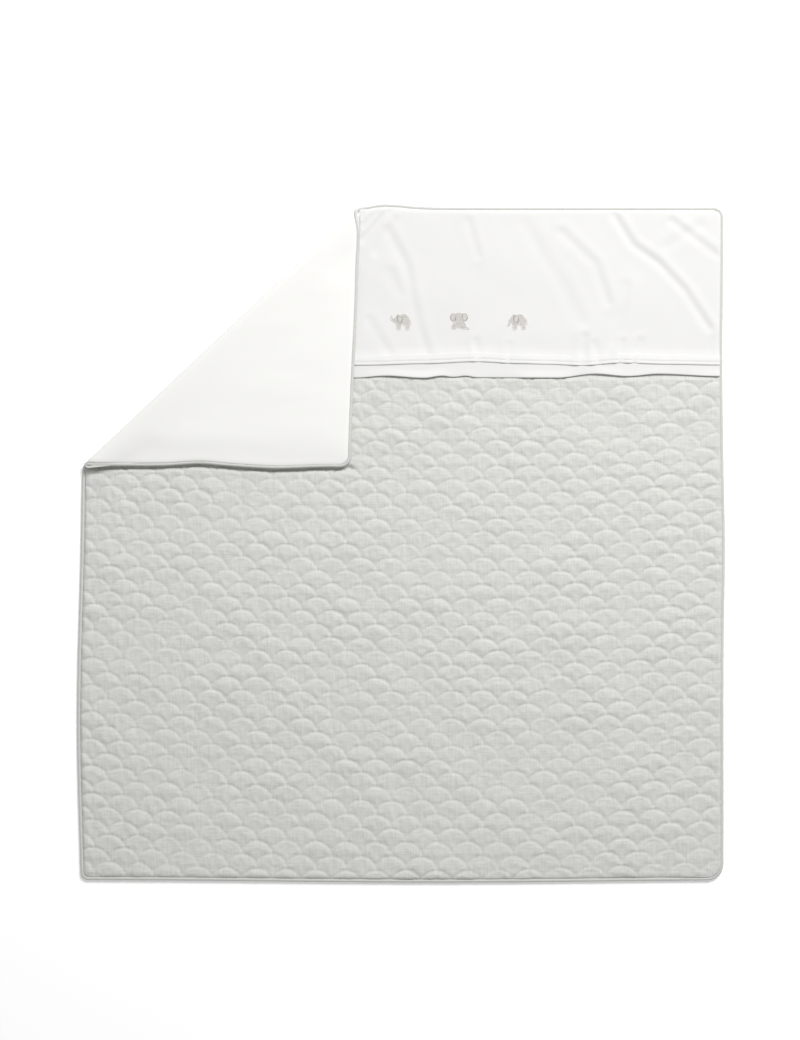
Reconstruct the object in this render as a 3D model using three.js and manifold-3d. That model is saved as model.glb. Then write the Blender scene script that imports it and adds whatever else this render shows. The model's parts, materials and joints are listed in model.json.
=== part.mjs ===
// A cot quilt that lies flat with its top left corner turned back.
// Millimetres. X runs across the quilt, Y towards its head end, Z up.
// The origin is under the middle of the quilt, on the surface that it lies on.
import * as THREE from "three";
import { mergeVertices } from "three/addons/utils/BufferGeometryUtils.js";
import Module from "manifold-3d";

const wasm = await Module();
wasm.setup();

// Overall size
const quiltWidth = 950;
const quiltLength = 996;
const headCornerRadius = 15;
const footLeftRadius = 11;
const footRightRadius = 25;

// Cloths and filling
const clothThickness = 0.6;
const waddingThickness = 6;
const layerGap = 0.3;

// Head panel, its hem and the trim band below it
const panelDepth = 234;
const hemDepth = 20;
const trimDepth = 18;
const tuckDepth = 12;
const topstitchInset = 5;
const threadWidth = 0.8;
const threadHeight = 0.4;

// Piping
const pipingDiameter = 5;
const pipingSides = 6;
const cornerSteps = 4;

// Turned-back corner: how far down the side and along the head edge the fold starts,
// how far the cloth slips along the fold, and how much the roll of the fold takes up
const turnBackSide = 383;
const turnBackHead = 407;
const foldSkew = 0.091;
const foldTakeUp = 0.018;

// Embroidered elephants
const motifHeight = 25;
const motifPitch = 86;
const motifRise = 65;
const firstMotifX = -3;
const motifThickness = 0.6;
const earThickness = 0.4;

// Heights of the layers, from the surface up
const waddingBottom = clothThickness + layerGap;
const coverBottom = waddingBottom + waddingThickness + layerGap;
const coverTop = coverBottom + clothThickness;
const trimBottom = coverTop + layerGap;
const trimTop = trimBottom + clothThickness;
const hemBottom = trimTop + layerGap;
const hemTop = hemBottom + 2 * clothThickness;
const stitchBottom = hemTop + layerGap;
const stackTop = stitchBottom + threadHeight;
const motifBottom = coverTop + layerGap;
const earBottom = motifBottom + motifThickness + layerGap;

// The fold turns about its outermost line, half way up
const foldRadius = stackTop + layerGap / 2;

// Places along the quilt
const headY = quiltLength / 2;
const sideX = quiltWidth / 2;
const hemY = headY - panelDepth;
const tuckY = hemY + tuckDepth;
const clothInset = pipingDiameter + layerGap;
const pipingHeight = coverTop / 2;

// The fold: its start on the left side, and unit vectors along it and out to the corner
const foldStart = new THREE.Vector2(-sideX, headY - turnBackSide);
const foldEnd = new THREE.Vector2(-sideX + turnBackHead, headY);
const foldLength = foldStart.distanceTo(foldEnd);
const along = foldEnd.clone().sub(foldStart).divideScalar(foldLength);
const outward = new THREE.Vector2(-along.y, along.x);

const finishes = {
  backing: { color: "#fafaf7", roughness: 0.9 },
  wadding: { color: "#ffffff", roughness: 1 },
  chambray: { color: "#d3d4ce", roughness: 0.95 },
  white_cotton: { color: "#f3f3f1", roughness: 0.9 },
  thread: { color: "#efefec", roughness: 0.7 },
  piping: { color: "#c9cac5", roughness: 0.9 },
  cord: { color: "#e8e6df", roughness: 1 },
  embroidery: { color: "#d2cfc8", roughness: 0.6 },
  dark_embroidery: { color: "#a9a49c", roughness: 0.6 },
};

const quilt = new THREE.Group();

function addPiece(name, geometry, finish) {
  const material = new THREE.MeshStandardMaterial({ ...finishes[finish], metalness: 0 });
  const mesh = new THREE.Mesh(geometry, material);
  mesh.name = name;
  quilt.add(mesh);
  return mesh;
}

// Closed solids for cutting

function toSolid(geometry) {
  const bare = new THREE.BufferGeometry();
  bare.setAttribute("position", geometry.getAttribute("position"));
  if (geometry.index) bare.setIndex(geometry.index);
  const merged = mergeVertices(bare, 1e-3);
  const mesh = new wasm.Mesh({
    numProp: 3,
    vertProperties: merged.attributes.position.array,
    triVerts: new Uint32Array(merged.index.array),
  });
  return new wasm.Manifold(mesh);
}

function toGeometry(solid) {
  const mesh = solid.getMesh();
  const geometry = new THREE.BufferGeometry();
  geometry.setAttribute("position", new THREE.BufferAttribute(mesh.vertProperties, 3));
  geometry.setIndex(new THREE.BufferAttribute(mesh.triVerts, 1));
  geometry.computeVertexNormals();
  return geometry;
}

function extrudeUp(shape, bottom, height, curveSegments = 6) {
  const geometry = new THREE.ExtrudeGeometry(shape, {
    depth: height,
    bevelEnabled: false,
    curveSegments,
  });
  return geometry.translate(0, 0, bottom);
}

// A point from its distances along the fold and out from it
function fromFold(u, s, z) {
  const x = foldStart.x + u * along.x + s * outward.x;
  const y = foldStart.y + u * along.y + s * outward.y;
  return new THREE.Vector3(x, y, z);
}

// Everything on one side of a line parallel to the fold, as a tall block
function halfSpace(fromS, direction) {
  const reach = 2 * (quiltWidth + quiltLength);
  const corners = [
    fromFold(-reach, fromS, 0),
    fromFold(reach, fromS, 0),
    fromFold(reach, fromS + direction * reach, 0),
    fromFold(-reach, fromS + direction * reach, 0),
  ];
  const outline = new THREE.Shape(corners.map((p) => new THREE.Vector2(p.x, p.y)));
  const height = 4 * foldRadius;
  return toSolid(extrudeUp(outline, -height / 2, height));
}

const flatSide = halfSpace(-foldRadius - layerGap, -1);
const cornerSide = halfSpace((foldRadius + layerGap) / (1 - foldTakeUp), 1);
const rollSide = halfSpace(-foldRadius, 1);

// Turns the flat quilt's corner over onto the quilt
function foldMatrix() {
  const a = along;
  const n = outward;
  const shrink = 1 - foldTakeUp;
  const xx = a.x * (a.x + foldSkew * n.x) - shrink * n.x * n.x;
  const xy = a.x * (a.y + foldSkew * n.y) - shrink * n.x * n.y;
  const yx = a.y * (a.x + foldSkew * n.x) - shrink * n.y * n.x;
  const yy = a.y * (a.y + foldSkew * n.y) - shrink * n.y * n.y;
  const moveX = foldStart.x - xx * foldStart.x - xy * foldStart.y;
  const moveY = foldStart.y - yx * foldStart.x - yy * foldStart.y;
  // prettier-ignore
  return new THREE.Matrix4().set(
    xx, xy, 0, moveX,
    yx, yy, 0, moveY,
    0, 0, -1, 2 * foldRadius,
    0, 0, 0, 1,
  );
}

const folded = foldMatrix();

// Adds the flat part of a piece, and its turned-back corner where it has one
function addFoldedPiece(flatName, cornerName, geometry, finish) {
  const solid = toSolid(geometry);
  addPiece(flatName, toGeometry(solid.intersect(flatSide)), finish);
  const corner = toGeometry(solid.intersect(cornerSide));
  addPiece(cornerName, corner.applyMatrix4(folded), finish);
}

// The quilt's corners, anticlockwise from the foot right, with the direction each one points
const corners = [
  { sx: 1, sy: -1, radius: footRightRadius, angle: -Math.PI / 4 },
  { sx: 1, sy: 1, radius: headCornerRadius, angle: Math.PI / 4 },
  { sx: -1, sy: 1, radius: headCornerRadius, angle: (3 * Math.PI) / 4 },
  { sx: -1, sy: -1, radius: footLeftRadius, angle: (5 * Math.PI) / 4 },
];

function cornerCentre(corner) {
  const x = corner.sx * (sideX - corner.radius);
  const y = corner.sy * (headY - corner.radius);
  return new THREE.Vector2(x, y);
}

// The points round one corner of a cloth that stops inset from the quilt's edge
function roundedCorner(corner, inset) {
  const centre = cornerCentre(corner);
  const arc = new THREE.EllipseCurve(
    centre.x,
    centre.y,
    corner.radius - inset,
    corner.radius - inset,
    corner.angle - Math.PI / 4,
    corner.angle + Math.PI / 4,
  );
  return arc.getPoints(2 * cornerSteps);
}

// Outline of a cloth that stops inset from the quilt's edge, or at a lower or upper cut
function clothOutline(inset, lowCut = null, highCut = null) {
  const points = corners.flatMap((corner) => {
    const cut = corner.sy < 0 ? lowCut : highCut;
    if (cut === null) return roundedCorner(corner, inset);
    return [new THREE.Vector2(corner.sx * (sideX - inset), cut)];
  });
  return new THREE.Shape(points);
}

// Cloths and wadding

const wholeCloth = clothOutline(clothInset);
const coverCloth = clothOutline(clothInset, null, tuckY);
const panelCloth = clothOutline(clothInset, tuckY + layerGap, null);

addFoldedPiece("backing", "corner_backing", extrudeUp(wholeCloth, 0, clothThickness), "backing");
addFoldedPiece(
  "wadding",
  "corner_wadding",
  extrudeUp(wholeCloth, waddingBottom, waddingThickness),
  "wadding",
);
addFoldedPiece(
  "quilted_cover",
  "corner_cover",
  extrudeUp(coverCloth, coverBottom, clothThickness),
  "chambray",
);
addFoldedPiece(
  "top_panel",
  "corner_panel",
  extrudeUp(panelCloth, coverBottom, clothThickness),
  "white_cotton",
);

// Strips that run from side to side, from a profile in Y and Z

function strip(profile) {
  const length = quiltWidth - 2 * clothInset;
  const shape = new THREE.Shape(profile.map(([y, z]) => new THREE.Vector2(y, z)));
  const geometry = new THREE.ExtrudeGeometry(shape, { depth: length, bevelEnabled: false });
  const turn = new THREE.Matrix4().makeBasis(
    new THREE.Vector3(0, 1, 0),
    new THREE.Vector3(0, 0, 1),
    new THREE.Vector3(1, 0, 0),
  );
  return geometry.applyMatrix4(turn).translate(-length / 2, 0, 0);
}

function rectangle(lowY, highY, bottom, top) {
  return [
    [lowY, bottom],
    [highY, bottom],
    [highY, top],
    [lowY, top],
  ];
}

const hemStepY = tuckY + layerGap;
const hemProfile = [
  [hemY, hemBottom],
  [hemStepY, hemBottom],
  [hemStepY, trimBottom],
  [hemY + hemDepth, trimBottom],
  [hemY + hemDepth, hemTop],
  [hemY, hemTop],
];
const trimProfile = rectangle(hemY - trimDepth, tuckY, trimBottom, trimTop);
const stitchY = hemY + topstitchInset;
const stitchProfile = rectangle(
  stitchY - threadWidth / 2,
  stitchY + threadWidth / 2,
  stitchBottom,
  stackTop,
);

addFoldedPiece("panel_hem", "corner_panel_hem", strip(hemProfile), "white_cotton");
addFoldedPiece("trim_band", "corner_trim_band", strip(trimProfile), "white_cotton");
addFoldedPiece("hem_topstitch", "corner_hem_topstitch", strip(stitchProfile), "thread");

// Piping: a tube of bias cloth round a cord

// A path that steps only where its list of places says
class SteppedPath extends THREE.Curve {
  constructor(places) {
    super();
    this.places = places;
  }

  at(t) {
    return this.places[Math.round(t * (this.places.length - 1))];
  }

  getPointAt(t, target = new THREE.Vector3()) {
    return target.copy(this.at(t).point);
  }

  getTangentAt(t, target = new THREE.Vector3()) {
    return target.copy(this.at(t).tangent);
  }
}

function disc(radius) {
  const shape = new THREE.Shape();
  shape.absarc(0, 0, radius, 0, 2 * Math.PI, false);
  return shape;
}

const coverRadius = pipingDiameter / 2;
const coverHole = coverRadius - clothThickness;

function pipingCoverSection() {
  const ring = disc(coverRadius);
  ring.holes.push(disc(coverHole));
  return ring;
}

const pipingSections = {
  cover: { section: pipingCoverSection(), finish: "piping" },
  cord: { section: disc(coverHole - layerGap), finish: "cord" },
};

function arcPlaces(corner, fromAngle, toAngle) {
  const centre = cornerCentre(corner);
  const radius = corner.radius - coverRadius;
  const places = [];
  for (let i = 0; i <= cornerSteps; i += 1) {
    const angle = fromAngle + ((toAngle - fromAngle) * i) / cornerSteps;
    const x = centre.x + radius * Math.cos(angle);
    const y = centre.y + radius * Math.sin(angle);
    places.push({
      point: new THREE.Vector3(x, y, pipingHeight),
      tangent: new THREE.Vector3(-Math.sin(angle), Math.cos(angle), 0),
    });
  }
  return places;
}

// One side's piping, from the middle of one corner to the middle of the next
function pipingRun(section, first, next) {
  const firstGap = layerGap / 2 / (first.radius - pipingDiameter);
  const nextGap = layerGap / 2 / (next.radius - pipingDiameter);
  const places = [
    ...arcPlaces(first, first.angle + firstGap, first.angle + Math.PI / 4),
    ...arcPlaces(next, next.angle - Math.PI / 4, next.angle - nextGap),
  ];
  return new THREE.ExtrudeGeometry(section, {
    steps: places.length - 1,
    curveSegments: pipingSides,
    extrudePath: new SteppedPath(places),
  });
}

for (const [kind, { section, finish }] of Object.entries(pipingSections)) {
  const [footRight, headRight, headLeft, footLeft] = corners;
  addPiece(`piping_${kind}_right`, pipingRun(section, footRight, headRight), finish);
  addPiece(`piping_${kind}_foot`, pipingRun(section, footLeft, footRight), finish);
  addFoldedPiece(
    `piping_${kind}_head`,
    `corner_piping_${kind}_head`,
    pipingRun(section, headRight, headLeft),
    finish,
  );
  addFoldedPiece(
    `piping_${kind}_left`,
    `corner_piping_${kind}_side`,
    pipingRun(section, headLeft, footLeft),
    finish,
  );
}

// The fold itself. A cloth's edge on the side or the head crosses the fold at a slant, so its
// distance along the fold follows from its distance out from it.

function sideEdgeU(s, inset) {
  const down = (s - inset * outward.x) / outward.y;
  return inset * along.x + down * along.y;
}

function headEdgeU(s, inset) {
  const across = (s + inset * outward.y) / outward.x;
  return foldLength + across * along.x - inset * along.y;
}

// Where an edge lies at an angle round the fold, from 0 under it to PI on top
const turnSteps = 8;
const rollEndS = foldRadius / (1 - foldTakeUp);

function edgeRoundFold(edgeU, inset, angle) {
  const share = angle / Math.PI;
  const flatS = THREE.MathUtils.lerp(-foldRadius, rollEndS, share);
  return edgeU(flatS, inset) + foldSkew * rollEndS * share;
}

// The piping goes round the fold in half a turn, with a short straight run at each end
function foldPath(edgeU) {
  const turnRadius = foldRadius - pipingHeight;
  const places = [];
  for (let i = 0; i <= turnSteps; i += 1) {
    const angle = (Math.PI * i) / turnSteps;
    const u = edgeRoundFold(edgeU, coverRadius, angle);
    const s = -foldRadius + turnRadius * Math.sin(angle);
    places.push(fromFold(u, s, foldRadius - turnRadius * Math.cos(angle)));
  }
  const runS = -foldRadius - 2 * pipingDiameter;
  const underRun = fromFold(edgeU(runS, coverRadius), runS, pipingHeight);
  const farS = -runS / (1 - foldTakeUp);
  const farU = edgeU(farS, coverRadius) + foldSkew * farS;
  const overRun = fromFold(farU, runS, 2 * foldRadius - pipingHeight);
  return new THREE.CatmullRomCurve3([underRun, ...places, overRun], false, "centripetal");
}

function foldTube(section, edgeU) {
  const tube = new THREE.ExtrudeGeometry(section, {
    steps: 3 * turnSteps,
    curveSegments: pipingSides,
    extrudePath: foldPath(edgeU),
  });
  return toSolid(tube);
}

for (const [kind, { section, finish }] of Object.entries(pipingSections)) {
  for (const [end, edgeU] of Object.entries({ side: sideEdgeU, head: headEdgeU })) {
    const turned = foldTube(section, edgeU).intersect(rollSide);
    addPiece(`fold_piping_${kind}_${end}`, toGeometry(turned), finish);
  }
}

// The quilt's thickness in the fold: a half round that runs from piping to piping
function foldRoll() {
  const section = new THREE.Shape();
  section.absarc(-foldRadius, foldRadius, foldRadius, -Math.PI / 2, Math.PI / 2, false);
  section.closePath();
  const geometry = new THREE.ExtrudeGeometry(section, {
    depth: 1,
    bevelEnabled: false,
    curveSegments: turnSteps,
  });
  const position = geometry.getAttribute("position");
  for (let i = 0; i < position.count; i += 1) {
    const s = position.getX(i);
    const z = position.getY(i);
    const angle = Math.atan2(Math.max(0, s + foldRadius), foldRadius - z);
    const sideU = edgeRoundFold(sideEdgeU, clothInset, angle);
    const headU = edgeRoundFold(headEdgeU, clothInset, angle);
    const place = fromFold(THREE.MathUtils.lerp(sideU, headU, position.getZ(i)), s, z);
    position.setXYZ(i, place.x, place.y, place.z);
  }
  const room = disc(coverRadius + layerGap);
  const roll = toSolid(geometry);
  return roll.subtract(foldTube(room, sideEdgeU)).subtract(foldTube(room, headEdgeU));
}

addPiece("fold_roll", toGeometry(foldRoll()), "backing");

// Embroidered elephants, drawn in units of their height about their middle

function smoothOutline(points) {
  const places = points.map(([x, y]) => new THREE.Vector3(x * motifHeight, y * motifHeight, 0));
  const curve = new THREE.CatmullRomCurve3(places, true, "centripetal");
  const outline = curve.getPoints(3 * points.length).slice(0, -1);
  return new THREE.Shape(outline.map((p) => new THREE.Vector2(p.x, p.y)));
}

// Head, back, legs and chest of a walking elephant that faces left, without its trunk
const walkingBody = [
  [-0.36, 0.24],
  [-0.22, 0.42],
  [-0.06, 0.37],
  [0.12, 0.43],
  [0.36, 0.36],
  [0.5, 0.12],
  [0.5, -0.2],
  [0.49, -0.48],
  [0.3, -0.49],
  [0.25, -0.24],
  [0.03, -0.22],
  [-0.03, -0.48],
  [-0.22, -0.49],
  [-0.25, -0.18],
];
const raisedTrunk = [
  [-0.42, -0.02],
  [-0.57, 0.08],
  [-0.6, 0.3],
  [-0.53, 0.36],
  [-0.49, 0.18],
  [-0.43, 0.14],
];
const loweredTrunk = [
  [-0.36, -0.04],
  [-0.42, -0.26],
  [-0.53, -0.3],
  [-0.58, -0.24],
  [-0.5, -0.1],
  [-0.46, 0.1],
];
const sittingBody = [
  [-0.14, 0.48],
  [0.14, 0.48],
  [0.27, 0.3],
  [0.24, 0.1],
  [0.36, -0.12],
  [0.44, -0.36],
  [0.3, -0.5],
  [0.12, -0.4],
  [-0.12, -0.4],
  [-0.3, -0.5],
  [-0.44, -0.36],
  [-0.36, -0.12],
  [-0.24, 0.1],
  [-0.27, 0.3],
];
const sideEar = [
  [-0.16, 0.3],
  [0.02, 0.26],
  [0.06, 0.06],
  [-0.04, -0.1],
  [-0.15, -0.02],
  [-0.2, 0.14],
];
const walkingTail = [
  [0.46, 0.16],
  [0.52, 0.18],
  [0.6, -0.02],
  [0.62, -0.14],
  [0.56, -0.16],
  [0.54, -0.02],
];
const frontEar = [
  [0.2, 0.4],
  [0.38, 0.44],
  [0.5, 0.26],
  [0.42, 0.06],
  [0.28, 0.04],
  [0.22, 0.2],
];
const sittingTail = [
  [0.4, -0.32],
  [0.46, -0.28],
  [0.56, -0.36],
  [0.6, -0.46],
  [0.52, -0.46],
  [0.48, -0.38],
];

const mirrored = (points) => points.map(([x, y]) => [-x, y]).reverse();

const elephants = [
  { body: [...walkingBody, ...raisedTrunk], ear: sideEar, tail: walkingTail },
  {
    body: sittingBody,
    ear_right: frontEar,
    ear_left: mirrored(frontEar),
    tail: sittingTail,
  },
  { body: [...walkingBody, ...loweredTrunk], ear: sideEar, tail: walkingTail },
];

elephants.forEach((parts, index) => {
  const middleX = firstMotifX + index * motifPitch;
  const middleY = hemY + motifRise;
  for (const [part, points] of Object.entries(parts)) {
    const isBody = part === "body";
    const bottom = isBody ? motifBottom : earBottom;
    const height = isBody ? motifThickness : earThickness;
    const geometry = extrudeUp(smoothOutline(points), bottom, height);
    geometry.translate(middleX, middleY, 0);
    const finish = isBody ? "embroidery" : "dark_embroidery";
    addPiece(`elephant_${index + 1}_${part}`, geometry, finish);
  }
});

export default quilt;
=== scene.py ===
"""The looks of a cot quilt that lies flat with its top left corner turned back.

Every cloth is drawn flat first, in the quilt's own plane, and the fold then carries the
turned-back corner over. What crosses the fold in one piece is wrapped round it.
"""

import json
import logging
import math
from dataclasses import dataclass, field
from enum import Enum
from typing import Callable, Sequence

import bpy
import numpy as np
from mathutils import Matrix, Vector


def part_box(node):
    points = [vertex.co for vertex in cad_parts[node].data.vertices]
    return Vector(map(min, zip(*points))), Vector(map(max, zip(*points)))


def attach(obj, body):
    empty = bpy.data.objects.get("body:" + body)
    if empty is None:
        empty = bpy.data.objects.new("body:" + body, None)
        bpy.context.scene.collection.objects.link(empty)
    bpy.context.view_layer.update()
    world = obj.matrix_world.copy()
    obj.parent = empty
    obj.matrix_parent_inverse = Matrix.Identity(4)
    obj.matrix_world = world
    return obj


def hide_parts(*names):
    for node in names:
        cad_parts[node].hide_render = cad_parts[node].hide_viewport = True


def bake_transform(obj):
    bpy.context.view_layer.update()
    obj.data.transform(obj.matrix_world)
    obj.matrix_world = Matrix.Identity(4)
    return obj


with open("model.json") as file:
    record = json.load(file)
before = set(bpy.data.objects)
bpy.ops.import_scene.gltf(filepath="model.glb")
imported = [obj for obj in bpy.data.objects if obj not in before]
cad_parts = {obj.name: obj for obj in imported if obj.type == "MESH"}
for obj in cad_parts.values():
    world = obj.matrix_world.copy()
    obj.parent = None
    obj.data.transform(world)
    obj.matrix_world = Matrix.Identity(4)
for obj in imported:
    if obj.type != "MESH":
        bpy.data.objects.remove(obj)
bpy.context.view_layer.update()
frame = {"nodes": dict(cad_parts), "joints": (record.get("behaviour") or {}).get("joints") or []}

log = logging.getLogger("quilt")
MM = 0.001


class Side(Enum):
    """The two parts of the quilt that the fold divides."""

    QUILT = "quilt"
    CORNER = "corner"


# ---- shapes on the plane


def smoothstep(t: np.ndarray) -> np.ndarray:
    """Return t clipped to 0..1 and eased at both ends."""
    t = np.clip(t, 0.0, 1.0)
    return t * t * (3 - 2 * t)


@dataclass(frozen=True)
class SoftNoise:
    """Smooth random heights over a plane, the same on every run.

    Attributes:
        seed: chooses the pattern.
        size_x: the width of a bump along X, in metres.
        size_y: the width of a bump along Y, in metres.
    """

    seed: int
    size_x: float
    size_y: float

    def at(self, x: np.ndarray, y: np.ndarray) -> np.ndarray:
        """Return a height between about -1 and 1 at each place.

        Args:
            x: places along X, in metres.
            y: places along Y, in metres.

        Returns:
            One height for each place.
        """
        period = 64
        lattice = np.random.default_rng(self.seed).uniform(-1, 1, (period, period))
        gx, gy = np.asarray(x) / self.size_x, np.asarray(y) / self.size_y
        ix, iy = np.floor(gx).astype(int), np.floor(gy).astype(int)
        fx, fy = smoothstep(gx - ix), smoothstep(gy - iy)
        ix, iy = ix % period, iy % period
        jx, jy = (ix + 1) % period, (iy + 1) % period
        low = lattice[ix, iy] * (1 - fx) + lattice[jx, iy] * fx
        high = lattice[ix, jy] * (1 - fx) + lattice[jx, jy] * fx
        return low * (1 - fy) + high * fy


@dataclass(frozen=True)
class Wave:
    """How far an edge strays along its length: places and offsets, in metres."""

    places: tuple[float, ...]
    offsets: tuple[float, ...]

    def at(self, x: np.ndarray) -> np.ndarray:
        """Return the eased offset at each place x.

        Args:
            x: places along the edge.

        Returns:
            The offset at each of them.
        """
        places, offsets = np.array(self.places), np.array(self.offsets)
        x = np.clip(x, places[0], places[-1])
        i = np.clip(np.searchsorted(places, x, side="right") - 1, 0, len(places) - 2)
        t = smoothstep((x - places[i]) / (places[i + 1] - places[i]))
        return offsets[i] * (1 - t) + offsets[i + 1] * t


@dataclass(frozen=True)
class Pull:
    """A place where the cloth has been drawn aside, in metres.

    Attributes:
        x: the middle of the pull.
        y: the middle of the pull.
        reach_x: how far it reaches along X.
        reach_y: how far it reaches along Y.
        move_x: how far the cloth has moved along X.
        move_y: how far the cloth has moved along Y.
    """

    x: float
    y: float
    reach_x: float
    reach_y: float
    move_x: float
    move_y: float


@dataclass(frozen=True)
class Fold:
    """The line that the corner is turned back over, from the frame's hinge.

    Attributes:
        start: the fold's end on the quilt's side.
        along: unit vector along the fold.
        outward: unit vector from the fold to the corner as it lay when flat.
        radius: height of the hinge, and radius of the rolled edge.
        skew: how far the cloth slips along the fold for each unit out from it.
        take_up: share of the corner's reach that the fold takes up.
    """

    start: np.ndarray
    along: np.ndarray
    outward: np.ndarray
    radius: float
    skew: float = 0.091
    take_up: float = 0.018

    @property
    def roll_end(self) -> float:
        """How far out the cloth leaves the roll, measured on the flat quilt."""
        return self.radius / (1 - self.take_up)

    def split(self, x: np.ndarray, y: np.ndarray) -> tuple[np.ndarray, np.ndarray]:
        """Return each place's distance along the fold and out from it.

        Args:
            x: places along X.
            y: places along Y.

        Returns:
            The distance along the fold and the distance out from it.
        """
        dx, dy = x - self.start[0], y - self.start[1]
        u = dx * self.along[0] + dy * self.along[1]
        s = dx * self.outward[0] + dy * self.outward[1]
        return u, s

    def join(self, u: np.ndarray, s: np.ndarray, z: np.ndarray) -> np.ndarray:
        """Return places in the frame from their distances along and out, and height.

        Args:
            u: distances along the fold.
            s: distances out from it.
            z: heights.

        Returns:
            The places as points.
        """
        x = self.start[0] + u * self.along[0] + s * self.outward[0]
        y = self.start[1] + u * self.along[1] + s * self.outward[1]
        return np.stack([x, y, z], axis=-1)

    def line_x(self, y: np.ndarray) -> np.ndarray:
        """Return where the fold crosses each height y on the flat quilt."""
        return self.start[0] + (y - self.start[1]) * self.along[0] / self.along[1]

    def turn_over(self, points: np.ndarray) -> np.ndarray:
        """Turn a piece of the flat quilt's corner over onto the quilt.

        Args:
            points: points of the flat quilt.

        Returns:
            The same points, turned over.
        """
        u, s = self.split(points[..., 0], points[..., 1])
        z = 2 * self.radius - points[..., 2]
        return self.join(u + self.skew * s, -(1 - self.take_up) * s, z)

    def wrap(self, points: np.ndarray) -> np.ndarray:
        """Carry flat points round the fold: flat before it, on the roll, turned after it.

        Args:
            points: points of the flat quilt.

        Returns:
            The same points, round the fold.
        """
        u, s = self.split(points[..., 0], points[..., 1])
        depth = points[..., 2]
        span = self.roll_end + self.radius
        share = np.clip((s + self.radius) / span, 0, 1)
        angle = math.pi * share
        reach = self.radius - depth
        on_roll = (s > -self.radius) & (s < self.roll_end)
        roll_s = -self.radius + reach * np.sin(angle)
        roll_z = self.radius - reach * np.cos(angle)
        roll_u = u + self.skew * self.roll_end * share
        over = s >= self.roll_end
        new_u = np.where(on_roll, roll_u, np.where(over, u + self.skew * s, u))
        new_s = np.where(on_roll, roll_s, np.where(over, -(1 - self.take_up) * s, s))
        new_z = np.where(on_roll, roll_z, np.where(over, 2 * self.radius - depth, depth))
        return self.join(new_u, new_s, new_z)


@dataclass(frozen=True)
class Outline:
    """The quilt's outer edge: a rectangle with rounded corners, in metres."""

    half_width: float
    half_length: float
    head_radius: float = 15 * MM
    foot_left_radius: float = 11 * MM
    foot_right_radius: float = 25 * MM

    def corners(self) -> list[tuple[int, int, float]]:
        """Return the sign of X and Y and the radius of each corner, anticlockwise.

        Returns:
            A row of three for each corner.
        """
        return [
            (1, -1, self.foot_right_radius),
            (1, 1, self.head_radius),
            (-1, 1, self.head_radius),
            (-1, -1, self.foot_left_radius),
        ]

    def distance_in(self, x: np.ndarray, y: np.ndarray) -> np.ndarray:
        """Return how far each place lies inside the edge.

        Args:
            x: places along X.
            y: places along Y.

        Returns:
            The distances, below zero outside.
        """
        inside = np.minimum(self.half_width - np.abs(x), self.half_length - np.abs(y))
        for sx, sy, radius in self.corners():
            cx, cy = sx * (self.half_width - radius), sy * (self.half_length - radius)
            dx, dy = (x - cx) * sx, (y - cy) * sy
            near = (dx > 0) & (dy > 0)
            inside = np.where(near, radius - np.hypot(dx, dy), inside)
        return inside

    def side_x(self, y: np.ndarray, sign: int, inset: float) -> np.ndarray:
        """Return where a cloth that stops inset from the edge ends on one side.

        Args:
            y: places along Y.
            sign: -1 for the left side, 1 for the right.
            inset: how far inside the edge the cloth stops.

        Returns:
            The end's X at each y.
        """
        x = np.full_like(y, self.half_width - inset)
        for sx, sy, radius in self.corners():
            if sx != sign:
                continue
            rise = y * sy - (self.half_length - radius)
            reach = max(radius - inset, 1e-6)
            bow = np.sqrt(np.clip(reach**2 - rise**2, 0, None))
            x = np.where(rise > 0, self.half_width - radius + bow, x)
        return sign * x

    def walk(self, inset: float, step: float) -> np.ndarray:
        """Return points round the edge, inset from it.

        Args:
            inset: how far inside the edge they lie.
            step: the largest distance between two of them.

        Returns:
            An array of points and outward unit vectors, one row of four for each.
        """
        rows = []
        corners = self.corners()
        for index, (sx, sy, radius) in enumerate(corners):
            cx, cy = sx * (self.half_width - radius), sy * (self.half_length - radius)
            first = -math.pi / 2 + index * math.pi / 2
            reach = radius - inset
            count = max(8, math.ceil(reach * math.pi / 2 / step))
            for angle in np.linspace(first, first + math.pi / 2, count):
                nx, ny = math.cos(angle), math.sin(angle)
                rows.append((cx + reach * nx, cy + reach * ny, nx, ny))
            tx, ty, next_radius = corners[(index + 1) % 4]
            nx, ny = math.cos(first + math.pi / 2), math.sin(first + math.pi / 2)
            ex = tx * (self.half_width - next_radius) + next_radius * nx - inset * nx
            ey = ty * (self.half_length - next_radius) + next_radius * ny - inset * ny
            x0, y0 = rows[-1][:2]
            steps = max(2, math.ceil(math.hypot(ex - x0, ey - y0) / step))
            for i in range(1, steps):
                share = i / steps
                rows.append((x0 + (ex - x0) * share, y0 + (ey - y0) * share, nx, ny))
        return np.array(rows)


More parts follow.
